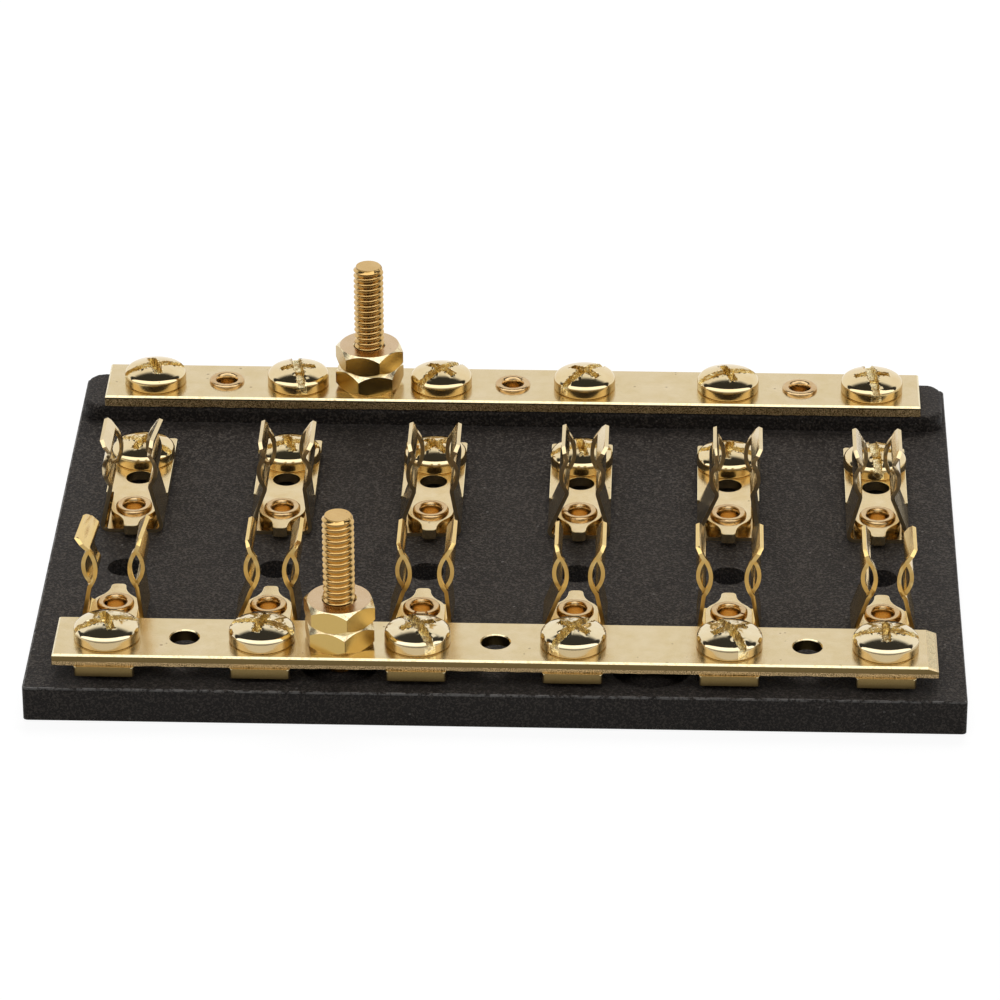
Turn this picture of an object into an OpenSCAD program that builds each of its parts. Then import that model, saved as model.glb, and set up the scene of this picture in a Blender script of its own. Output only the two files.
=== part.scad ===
// Open fuse terminal block: two rows of spring clips between two bus bars on a moulded base.
// Millimetres. Origin: centre of the base's underside. +X along the row, +Y to the rear, +Z up.

/* [Layout] */
// Number of fuse ways
ways = 6; // [4:2:6]
// Distance from one way to the next
pitch = 19.05; // [16:0.05:24]
// Distance between the rivets of a front clip and its rear clip
clip_span = 25.4; // [22:0.1:32]
// Front clip rivet to front bar screw
front_reach = 10.6; // [10:0.1:14]
// Rear clip rivet to rear clip screw
rear_reach = 13.8; // [13.4:0.1:18]
// Rear clip screw to rear bar screw
rear_gap = 18.2; // [14:0.1:24]
// Front bar screw to the front edge of the base
front_margin = 7.275; // [6:0.025:12]
// Rear bar screw to the rear edge of the base
rear_margin = 7.275; // [6:0.025:12]
// Last way to the end of the base
end_margin = 9.875; // [9.5:0.025:16]

/* [Base] */
// Thickness of the base plate
base_t = 4.5; // [4:0.1:8]
// Corner radius of the base plate
base_corner_r = 0.6; // [0.2:0.1:4]
// Rounding of the upper edges of the base plate
base_edge_r = 0.25; // [0.1:0.05:1]
// Depth of the raised rib under the rear bar
rib_d = 9.7; // [9.6:0.1:12]
// Height of the rib above the plate
rib_h = 2.2; // [1.5:0.1:4]
// Last way to the end of the rib
rib_end = 9.35; // [7:0.05:9.4]
// Corner radius of the rib
rib_corner_r = 2.3; // [0.8:0.1:4]
// Rounding of the upper edges of the rib
rib_edge_r = 0.6; // [0.1:0.05:1]
// Diameter of the mounting holes
mount_hole_d = 4.5; // [3.5:0.1:6]
// Thickness of base left under the screw tips
pocket_floor = 1.2; // [0.8:0.1:1.5]
// Diameter of the counterbores for the rivet feet
foot_bore_d = 6.5; // [5.5:0.1:8]
// Depth of the counterbores for the rivet feet
foot_bore_h = 1.2; // [1:0.1:2]

/* [Bus bars] */
// Width of a bar, front to back
bar_d = 9.525; // [8.5:0.025:12]
// Thickness of a bar
bar_t = 1.45; // [1:0.05:3]
// Last way to the end of a bar
bar_end = 6.35; // [5:0.05:8]

/* [Clips] */
// Sheet thickness of a clip
clip_t = 0.5; // [0.3:0.05:0.8]
// Outer width of a clip at its foot
clip_foot_w = 8.0; // [7.5:0.1:9]
// Inner radius of the bend at the foot
clip_bend_r = 0.55; // [0.1:0.05:0.8]
// Height of a clip
clip_h = 12.9; // [12.5:0.1:16]
// Rivet to the inner edge of a clip, towards the fuse
clip_in = 3.5; // [3:0.1:5]
// Rivet to the outer edge of a clip, at the fuse's end
clip_out = 3.8; // [3.2:0.1:5]
// Diameter of the fuse that the clips hold
fuse_d = 6.35; // [5:0.05:7]
// Height of the fuse's axis above the base plate
seat_h = 8.9; // [8:0.1:9.8]
// Half angle of the seat around the fuse's axis
seat_angle = 40; // [30:1:50]
// Lean of the flared tips
flare_angle = 24; // [10:1:35]
// Width of the lanced end stop
stop_w = 0.6; // [0.4:0.05:1.2]
// Gap between the two end stops of a clip
stop_gap = 3.26; // [2:0.02:4.5]
// Half height of the lanced end stop
stop_rise = 2.6; // [2.2:0.1:3.2]
// Corners cut off the tips
tip_cut = 0.63; // [0.2:0.01:1.2]

/* [Terminal plates] */
// Thickness of a terminal plate
plate_t = 1.35; // [1:0.05:2]
// Width of a front plate under its screw
front_plate_w = 7.4; // [6.5:0.1:10]
// Width of a rear plate under its screw
rear_plate_w = 8.0; // [6.5:0.1:10]
// Corner radius at the outer end of a plate
plate_corner_r = 0.4; // [0.2:0.1:3]
// Screw to the outer end of a plate
plate_end = 5.2; // [4:0.1:7]
// Width of the tab at the inner end of a plate
tab_w = 1.9; // [1:0.1:3]
// Corner radius at the end of the tab
tab_corner_r = 0.35; // [0.1:0.05:0.45]
// Rivet to the end of the tab
tab_reach = 5.2; // [4.6:0.1:7]
// Fillet between the tab and the round end
tab_fillet_r = 0.9; // [0.2:0.1:1]
// Diameter of the spare hole in a rear plate
spare_hole_d = 3.46; // [2.5:0.02:4.2]
// Rivet to the spare hole
spare_reach = 8.0; // [7:0.1:8.6]

/* [Screws] */
// Diameter of a screw head
head_d = 8.15; // [7:0.05:9]
// Height of a screw head at its rim
head_rim_h = 1.55; // [1.2:0.05:2.2]
// Height of a screw head at its middle
head_h = 2.5; // [2.3:0.05:3.5]
// Width of the driving slot
slot_w = 1.25; // [0.8:0.05:1.6]
// Depth of the driving slot below the middle of the head
slot_depth = 1.25; // [0.8:0.05:1.5]
// Width of the cross recess
cross_w = 1.05; // [0.8:0.05:1.6]
// Length of the cross recess
cross_l = 4.6; // [3:0.1:6]
// Depth of the cross recess below the middle of the head
cross_depth = 1.5; // [1:0.05:2]
// Outer diameter of the screw thread
shank_d = 4.1; // [3.5:0.05:4.5]
// Length of a screw below its head
screw_len = 4.75; // [4:0.05:4.9]

/* [Studs and nuts] */
// Outer diameter of the stud thread
stud_d = 3.95; // [3.5:0.05:5]
// Length of a stud above the underside of its bar
stud_len = 18.8; // [12:0.1:25]
// Length of a stud below its bar
stud_tail = 2.4; // [1:0.1:2.8]
// Diameter at the end of a stud
stud_tip_d = 3.2; // [2:0.1:3.4]
// Length of the bevel at the end of a stud
stud_tip_h = 0.45; // [0.2:0.05:1]
// Diameter of the wide pockets in the base under the front bar's stud places
stud_pocket_d = 10.0; // [6:0.1:10.5]
// Width of a nut across its flats
nut_af = 7.94; // [7:0.02:9]
// Thickness of a nut
nut_t = 2.9; // [2:0.1:4]
// Diameter of the flat ring on a nut's faces
nut_face_d = 7.8; // [6.5:0.1:7.9]
// Slope of the chamfer at a nut's corners
nut_chamfer = 45; // [15:1:45]
// Countersink at the ends of a nut's bore, on the radius
nut_sink = 0.15; // [0.05:0.05:0.6]

/* [Eyelets] */
// Outer diameter of an eyelet's barrel
eyelet_d = 3.35; // [3:0.05:4]
// Bore of an eyelet
eyelet_bore_d = 2.6; // [2:0.05:2.8]
// Diameter of an eyelet's rolled rim
eyelet_rim_d = 4.65; // [4.2:0.05:5.2]
// Height of the rolled rim
eyelet_rim_h = 0.45; // [0.4:0.05:0.8]
// Rounding of the rolled rim
eyelet_rim_r = 0.2; // [0.05:0.05:0.2]

/* [Fits] */
// Play of a fuse in its seat, on the radius
seat_play = 0.025; // [0:0.005:0.2]
// Play of a thread in its hole, on the radius
thread_play = 0.05; // [0.01:0.01:0.1]
// Play of an eyelet in its holes, on the radius
eyelet_play = 0.1; // [0.05:0.05:0.3]
// Room around a screw tip or a stud's tail in the base, on the radius
tip_room = 0.45; // [0.2:0.05:0.8]
// Gap between a clip and the shoulder of its plate
shoulder_gap = 0.1; // [0.05:0.05:0.4]

/* [Hidden] */
$fn = 64;
overcut = 1;

// Plan of the base
row_w = (ways - 1) * pitch;
base_w = row_w + 2 * end_margin;
base_d = front_margin + front_reach + clip_span + rear_reach + rear_gap + rear_margin;
front_bar_y = -base_d / 2 + front_margin;
front_clip_y = front_bar_y + front_reach;
rear_clip_y = front_clip_y + clip_span;
rear_screw_y = rear_clip_y + rear_reach;
rear_bar_y = rear_screw_y + rear_gap;
mount_y = (front_clip_y + rear_clip_y) / 2;

// Heights of the seats
plate_z = base_t + clip_t;
plate_top = plate_z + plate_t;
rib_top = base_t + rib_h;
front_bar_top = plate_top + bar_t;
rear_bar_top = rib_top + bar_t;

// Holes
screw_hole_d = shank_d + 2 * thread_play;
stud_hole_d = stud_d + 2 * thread_play;
eyelet_hole_d = eyelet_d + 2 * eyelet_play;
tip_pocket_d = shank_d + 2 * tip_room;

// Clip section: middle line of the sheet in the X-Z plane, above the base plate
seat_r = fuse_d / 2 + seat_play;
seat_mid_r = seat_r + clip_t / 2;
low_neck = [seat_mid_r * cos(seat_angle), seat_h - seat_mid_r * sin(seat_angle)];
high_neck = [seat_mid_r * cos(seat_angle), seat_h + seat_mid_r * sin(seat_angle)];
bend_mid_r = clip_bend_r + clip_t / 2;
bend_centre = [clip_foot_w / 2 - clip_t - clip_bend_r, clip_t + clip_bend_r];
bend_to_neck = low_neck - bend_centre;
leg_lean = atan2(bend_to_neck[1], bend_to_neck[0]) - acos(bend_mid_r / norm(bend_to_neck));
foot_end = [bend_centre[0], clip_t / 2];
leg_foot = bend_centre + bend_mid_r * [cos(leg_lean), sin(leg_lean)];
tip_end = on_flare(clip_h);
tip_top = clip_h + clip_t;
stop_low = on_leg(seat_h - stop_rise);
stop_mid = [stop_gap / 2 + clip_t / 2, seat_h];
stop_high = on_flare(seat_h + stop_rise);
stop_centre = circle_centre(stop_low, stop_mid, stop_high);
stop_mid_r = norm(stop_mid - stop_centre);

// Terminal plate
neck_w = 2 * bend_centre[0];
shoulder = clip_out + shoulder_gap;

// Slot angles of the screws and corner angles of the nuts
front_slots = [20, -15, -65, 55, -65, 0];
rear_bar_slots = [18, -80, 50, 50, 20, -83];
rear_clip_slots = [-25, 15, 40, 10, -10, -85];
front_nut_turns = [-79, -75];
rear_nut_turns = [-106, -70];

// X of way i, and of the gap between way i and the next
function way_x(i) = (i - (ways + 1) / 2) * pitch;
function gap_x(i) = (i - ways / 2) * pitch;
rivet_gaps = [1:2:ways - 1];
stud_way = floor(ways / 3);
spare_stud_way = ways - stud_way;

// Points of the clip section at a given height on the leg and on the flared tip
function on_leg(z) = low_neck + (low_neck[1] - z) * [tan(leg_lean), -1];
function on_flare(z) = high_neck + (z - high_neck[1]) * [tan(flare_angle), 1];

// Centre of the circle through three points
function circle_centre(a, b, c) =
    let (d = 2 * (a[0] * (b[1] - c[1]) + b[0] * (c[1] - a[1]) + c[0] * (a[1] - b[1])))
    [
        (a * a * (b[1] - c[1]) + b * b * (c[1] - a[1]) + c * c * (a[1] - b[1])) / d,
        (a * a * (c[0] - b[0]) + b * b * (a[0] - c[0]) + c * c * (b[0] - a[0])) / d
    ];

// Angle of a point about a centre, from 0 to 360
function angle_of(p, centre) = (atan2(p[1] - centre[1], p[0] - centre[0]) + 360) % 360;

// Rectangle with four round corners, on its centre
module round_rect(w, d, r) {
    square([w - 2 * r, d], center = true);
    square([w, d - 2 * r], center = true);
    for (x = [-1, 1], y = [-1, 1])
        translate([x * (w / 2 - r), y * (d / 2 - r)]) circle(r);
}

// Outline that stands on the axis, with its upper corners rounded
module tongue(w, h, r) {
    translate([-w / 2, 0]) square([w, h - r]);
    translate([r - w / 2, 0]) square([w - 2 * r, h]);
    for (x = [-1, 1])
        translate([x * (w / 2 - r), h - r]) circle(r);
}

// Slab with round corners in plan and rounded upper edges
module slab(w, d, h, corner_r, edge_r) {
    intersection() {
        linear_extrude(h) round_rect(w, d, corner_r);
        translate([0, d / 2, 0]) rotate([90, 0, 0]) linear_extrude(d) tongue(w, h, edge_r);
        translate([-w / 2, 0, 0]) rotate([90, 0, 90]) linear_extrude(w) tongue(d, h, edge_r);
    }
}

// Hole for an eyelet, with the counterbore for its foot
module rivet_hole(top) {
    translate([0, 0, -overcut]) cylinder(d = eyelet_hole_d, h = top + 2 * overcut);
    translate([0, 0, -overcut]) cylinder(d = foot_bore_d, h = foot_bore_h + overcut);
}

// Blind pocket from above
module pocket(d, floor_z, top) {
    translate([0, 0, floor_z]) cylinder(d = d, h = top - floor_z + overcut);
}

module base() {
    color("#2b2929")
    difference() {
        union() {
            slab(base_w, base_d, base_t, base_corner_r, base_edge_r);
            translate([0, rear_bar_y, 0])
                slab(row_w + 2 * rib_end, rib_d, rib_top, rib_corner_r, rib_edge_r);
        }
        for (i = [1:ways]) {
            translate([way_x(i), mount_y, -overcut]) cylinder(d = mount_hole_d, h = base_t + 2 * overcut);
            translate([way_x(i), front_clip_y, 0]) rivet_hole(base_t);
            translate([way_x(i), rear_clip_y, 0]) rivet_hole(base_t);
            translate([way_x(i), front_bar_y, 0]) pocket(tip_pocket_d, pocket_floor, base_t);
            translate([way_x(i), rear_screw_y, 0]) pocket(tip_pocket_d, pocket_floor, base_t);
            translate([way_x(i), rear_bar_y, 0]) pocket(tip_pocket_d, pocket_floor, rib_top);
        }
        for (i = rivet_gaps)
            translate([gap_x(i), rear_bar_y, 0]) rivet_hole(rib_top);
        for (i = [stud_way, spare_stud_way]) {
            translate([gap_x(i), front_bar_y, 0]) pocket(stud_pocket_d, pocket_floor, base_t);
            translate([gap_x(i), rear_bar_y, 0]) pocket(tip_pocket_d, pocket_floor, rib_top);
        }
    }
}

// Flat bar on its centre line, underside on the X-Y plane
module bus_bar() {
    linear_extrude(bar_t)
    difference() {
        square([row_w + 2 * bar_end, bar_d], center = true);
        for (i = [1:ways])
            translate([way_x(i), 0]) circle(d = screw_hole_d);
        for (i = rivet_gaps)
            translate([gap_x(i), 0]) circle(d = eyelet_hole_d);
        translate([gap_x(stud_way), 0]) circle(d = stud_hole_d);
    }
}

module front_bus_bar() {
    color("#d9b95f") translate([0, front_bar_y, plate_top]) bus_bar();
}

module rear_bus_bar() {
    color("#d9b95f") translate([0, rear_bar_y, rib_top]) bus_bar();
}

// Straight run of sheet from one point of the middle line to another
module straight_run(a, b) {
    translate(a) rotate(atan2(b[1] - a[1], b[0] - a[0]))
        translate([0, -clip_t / 2]) square([norm(b - a), clip_t]);
}

// Bent run of sheet about a centre, from one angle to another
module bent_run(centre, mid_r, from, to) {
    half = (to - from) / 2;
    reach = 2 * mid_r;
    translate(centre) rotate(from + half)
    intersection() {
        difference() {
            circle(mid_r + clip_t / 2);
            circle(mid_r - clip_t / 2);
        }
        polygon([
            [0, 0], reach * [cos(half), -sin(half)], [reach / cos(half), 0], reach * [cos(half), sin(half)]
        ]);
    }
}

// Round joint of two runs of sheet, as wide as the sheet is thick
module joint(at) {
    translate(at) circle(d = clip_t);
}

// Foot, leg and tip that the seat and the end stop share
module shared_side() {
    straight_run([0, clip_t / 2], foot_end);
    joint(foot_end);
    bent_run(bend_centre, bend_mid_r, -90, leg_lean);
    joint(leg_foot);
    straight_run(leg_foot, stop_low);
    joint(stop_low);
    joint(stop_high);
    straight_run(stop_high, tip_end);
}

// One side of the clip where it holds the fuse
module seat_side() {
    straight_run(stop_low, low_neck);
    joint(low_neck);
    bent_run([0, seat_h], seat_mid_r, -seat_angle, seat_angle);
    joint(high_neck);
    straight_run(high_neck, stop_high);
}

// One side of the clip at its lanced end stop
module stop_side() {
    bent_run(stop_centre, stop_mid_r, angle_of(stop_high, stop_centre), angle_of(stop_low, stop_centre));
}

// Both sides of the clip's sheet, from one end to the other along Y
module clip_sheet(from, to) {
    translate([0, to, 0]) rotate([90, 0, 0]) linear_extrude(to - from) {
        children();
        mirror([1, 0]) children();
    }
}

// Folded spring clip, rivet hole at the origin, end stop towards -Y
module clip() {
    stop_side_y = stop_w - clip_out;
    tip_low = clip_h - tip_cut;
    tip_slope = tip_cut + clip_t;
    difference() {
        intersection() {
            union() {
                clip_sheet(-clip_out, clip_in) shared_side();
                clip_sheet(stop_side_y, clip_in) seat_side();
                clip_sheet(-clip_out, stop_side_y) stop_side();
            }
            translate([-clip_foot_w, 0, 0]) rotate([90, 0, 90]) linear_extrude(2 * clip_foot_w)
                polygon([
                    [-clip_out, 0], [clip_in, 0], [clip_in, tip_low], [clip_in - tip_slope, tip_top],
                    [tip_slope - clip_out, tip_top], [-clip_out, tip_low]
                ]);
        }
        translate([0, 0, -overcut]) cylinder(d = eyelet_hole_d, h = clip_t + 2 * overcut);
    }
}

module front_clip(i) {
    color("#dcc06a") translate([way_x(i), front_clip_y, base_t]) clip();
}

module rear_clip(i) {
    color("#dcc06a") translate([way_x(i), rear_clip_y, base_t]) rotate(180) clip();
}

// Fillet between the tab and the round end of a plate
module tab_fillet() {
    x = tab_w / 2 + tab_fillet_r;
    y = sqrt(pow(neck_w / 2 + tab_fillet_r, 2) - x * x);
    difference() {
        polygon([[0, 0], [x, y], [0, y]]);
        translate([x, y]) circle(tab_fillet_r);
    }
}

// Terminal plate of a given width, rivet hole at the origin, screw towards -Y
module terminal_plate(w, reach) {
    linear_extrude(plate_t)
    difference() {
        union() {
            translate([0, -shoulder]) mirror([0, 1])
                tongue(w, reach + plate_end - shoulder, plate_corner_r);
            translate([-neck_w / 2, -reach]) square([neck_w, reach]);
            circle(d = neck_w);
            tongue(tab_w, tab_reach, tab_corner_r);
            tab_fillet();
            mirror([1, 0]) tab_fillet();
        }
        circle(d = eyelet_hole_d);
        translate([0, -reach]) circle(d = screw_hole_d);
        children();
    }
}

module front_terminal(i) {
    color("#d9b95f") translate([way_x(i), front_clip_y, plate_z])
        terminal_plate(front_plate_w, front_reach);
}

module rear_terminal(i) {
    color("#d9b95f") translate([way_x(i), rear_clip_y, plate_z]) rotate(180)
        terminal_plate(rear_plate_w, rear_reach) translate([0, -spare_reach]) circle(d = spare_hole_d);
}

// Pan head screw, underside of the head at the origin, slot along X
module screw() {
    rise = head_h - head_rim_h;
    crown_r = (pow(head_d / 2, 2) + rise * rise) / (2 * rise);
    translate([0, 0, -screw_len]) cylinder(d = shank_d, h = screw_len);
    difference() {
        rotate_extrude() intersection() {
            square([head_d / 2, head_h]);
            translate([0, head_h - crown_r]) circle(crown_r, $fn = 128);
        }
        translate([-head_d, -slot_w / 2, head_h - slot_depth])
            cube([2 * head_d, slot_w, slot_depth + overcut]);
        translate([-cross_w / 2, -cross_l / 2, head_h - cross_depth])
            cube([cross_w, cross_l, cross_depth + overcut]);
    }
}

module front_bar_screw(i) {
    color("#e0c36c") translate([way_x(i), front_bar_y, front_bar_top]) rotate(front_slots[i - 1]) screw();
}

module rear_bar_screw(i) {
    color("#e0c36c") translate([way_x(i), rear_bar_y, rear_bar_top]) rotate(rear_bar_slots[i - 1]) screw();
}

module rear_clip_screw(i) {
    color("#e0c36c") translate([way_x(i), rear_screw_y, plate_top]) rotate(rear_clip_slots[i - 1]) screw();
}

// Headless stud, bevelled at both ends, underside of its bar at the origin
module stud() {
    rotate_extrude() polygon([
        [0, -stud_tail], [stud_tip_d / 2, -stud_tail], [stud_d / 2, stud_tip_h - stud_tail],
        [stud_d / 2, stud_len - stud_tip_h], [stud_tip_d / 2, stud_len], [0, stud_len]
    ]);
}

module front_stud() {
    color("#b9924a") translate([gap_x(stud_way), front_bar_y, plate_top]) stud();
}

module rear_stud() {
    color("#b9924a") translate([gap_x(stud_way), rear_bar_y, rib_top]) stud();
}

// Hexagon nut on the X-Y plane, chamfered and countersunk on both faces, one corner towards +X
module nut() {
    bore_r = stud_hole_d / 2;
    mouth_r = bore_r + nut_sink + overcut;
    corner_r = nut_af / 2 / cos(30);
    chamfer_h = (corner_r - nut_face_d / 2) * tan(nut_chamfer);
    difference() {
        intersection() {
            cylinder(r = corner_r, h = nut_t, $fn = 6);
            rotate_extrude() polygon([
                [0, 0], [nut_face_d / 2, 0], [corner_r, chamfer_h],
                [corner_r, nut_t - chamfer_h], [nut_face_d / 2, nut_t], [0, nut_t]
            ]);
        }
        rotate_extrude() polygon([
            [0, -overcut], [mouth_r, -overcut], [bore_r, nut_sink],
            [bore_r, nut_t - nut_sink], [mouth_r, nut_t + overcut], [0, nut_t + overcut]
        ]);
    }
}

// Nut number k of a stack, counted from the bar upwards
module stacked_nut(k, bar_y, bar_top, turns) {
    color("#c79b4d") translate([gap_x(stud_way), bar_y, bar_top + (k - 1) * nut_t])
        rotate(turns[k - 1]) nut();
}

module front_fixing_nut() {
    stacked_nut(1, front_bar_y, front_bar_top, front_nut_turns);
}

module front_terminal_nut() {
    stacked_nut(2, front_bar_y, front_bar_top, front_nut_turns);
}

module rear_fixing_nut() {
    stacked_nut(1, rear_bar_y, rear_bar_top, rear_nut_turns);
}

module rear_terminal_nut() {
    stacked_nut(2, rear_bar_y, rear_bar_top, rear_nut_turns);
}

// Section of a rolled rim that stands on the r axis
module rolled_rim() {
    translate([(eyelet_rim_d + eyelet_bore_d) / 4, 0])
        tongue((eyelet_rim_d - eyelet_bore_d) / 2, eyelet_rim_h, eyelet_rim_r);
}

// Eyelet through all that lies between its foot in the base and its rim at a given height
module eyelet(top) {
    rotate_extrude() {
        translate([eyelet_bore_d / 2, foot_bore_h])
            square([(eyelet_d - eyelet_bore_d) / 2, top - foot_bore_h]);
        translate([0, top]) rolled_rim();
        translate([0, foot_bore_h]) mirror([0, 1]) rolled_rim();
    }
}

module front_clip_eyelets() {
    color("#b77f45") for (i = [1:ways])
        translate([way_x(i), front_clip_y, 0]) eyelet(plate_top);
}

module rear_clip_eyelets() {
    color("#b77f45") for (i = [1:ways])
        translate([way_x(i), rear_clip_y, 0]) eyelet(plate_top);
}

module rear_bar_eyelets() {
    color("#b77f45") for (i = rivet_gaps)
        translate([gap_x(i), rear_bar_y, 0]) eyelet(rear_bar_top);
}

base();
front_bus_bar();
rear_bus_bar();
front_stud();
rear_stud();
front_fixing_nut();
front_terminal_nut();
rear_fixing_nut();
rear_terminal_nut();
front_clip_eyelets();
rear_clip_eyelets();
rear_bar_eyelets();
for (i = [1:ways]) {
    front_clip(i);
    rear_clip(i);
    front_terminal(i);
    rear_terminal(i);
    front_bar_screw(i);
    rear_bar_screw(i);
    rear_clip_screw(i);
}
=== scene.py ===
"""Looks of an open fuse terminal block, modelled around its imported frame."""

import logging
import math
from collections.abc import Callable, Iterator, Sequence
from contextlib import contextmanager
from dataclasses import dataclass, replace
from enum import Enum
from itertools import pairwise
from typing import Any

import bmesh
import bpy
from mathutils import Matrix, Vector

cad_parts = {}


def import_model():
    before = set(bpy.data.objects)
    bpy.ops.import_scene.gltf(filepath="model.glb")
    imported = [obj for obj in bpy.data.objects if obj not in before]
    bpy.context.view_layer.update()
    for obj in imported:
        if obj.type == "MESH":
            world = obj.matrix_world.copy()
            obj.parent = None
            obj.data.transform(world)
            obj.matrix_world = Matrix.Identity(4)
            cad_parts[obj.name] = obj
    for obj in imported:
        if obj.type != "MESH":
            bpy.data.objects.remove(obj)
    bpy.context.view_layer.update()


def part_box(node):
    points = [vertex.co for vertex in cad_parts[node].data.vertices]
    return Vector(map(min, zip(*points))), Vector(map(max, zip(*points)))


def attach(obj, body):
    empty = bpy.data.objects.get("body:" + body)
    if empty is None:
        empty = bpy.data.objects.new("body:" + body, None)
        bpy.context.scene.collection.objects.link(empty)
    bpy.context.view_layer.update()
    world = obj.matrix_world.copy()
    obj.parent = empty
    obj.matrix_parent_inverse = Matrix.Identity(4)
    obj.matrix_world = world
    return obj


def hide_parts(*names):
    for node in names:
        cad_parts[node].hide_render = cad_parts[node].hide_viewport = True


log = logging.getLogger("fuse_block")

MM = 0.001
WAYS = range(1, 7)
BLOCK = "block"
TINY = 1e-3
FLAT = 0.98
WIDEST_SPECK = 0.34
RUB_CONTRAST = 8.0

Vec = tuple[float, float, float]
Point = tuple[float, float]
FaceTest = Callable[[Vector, Vector], float]
EdgeTest = Callable[[Vector, Vector], bool]
PointTest = Callable[[Vector], bool]


class Row(Enum):
    """The two long sides of the block."""

    FRONT = "front"
    REAR = "rear"


def lay_down() -> None:
    """Leave edit mode and let go of everything that is selected."""
    if bpy.context.object and bpy.context.object.mode != "OBJECT":
        bpy.ops.object.mode_set(mode="OBJECT")
    bpy.ops.object.select_all(action="DESELECT")


@dataclass(frozen=True)
class Seat:
    """Where a CAD node stands, in millimetres."""

    low: Vector
    high: Vector

    @classmethod
    def of(cls, node: str) -> "Seat":
        """Look up a node of the frame."""
        low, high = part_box(node)
        return cls(Vector(low) / MM, Vector(high) / MM)

    @property
    def x(self) -> float:
        """Middle along X."""
        return (self.low.x + self.high.x) / 2

    @property
    def y(self) -> float:
        """Middle along Y."""
        return (self.low.y + self.high.y) / 2


def arc(centre: Point, radius: float, start: float, end: float, steps: int) -> list[Point]:
    """Points along a circular arc from one angle to another, both ends included, in degrees."""
    angles = [math.radians(start + (end - start) * k / steps) for k in range(steps + 1)]
    return [(centre[0] + radius * math.cos(a), centre[1] + radius * math.sin(a)) for a in angles]


def eased(before: Point, corner: Point, after: Point, steps: int = 4) -> list[Point]:
    """Round a sharp corner.

    Args:
        before: Where the rounding starts.
        corner: The sharp corner.
        after: Where the rounding ends.
        steps: Number of steps.

    Returns:
        The points, both ends included.
    """
    shares = [k / steps for k in range(steps + 1)]
    return [
        tuple((1 - s) ** 2 * a + 2 * s * (1 - s) * b + s * s * c for a, b, c in zip(before, corner, after))
        for s in shares
    ]


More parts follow.
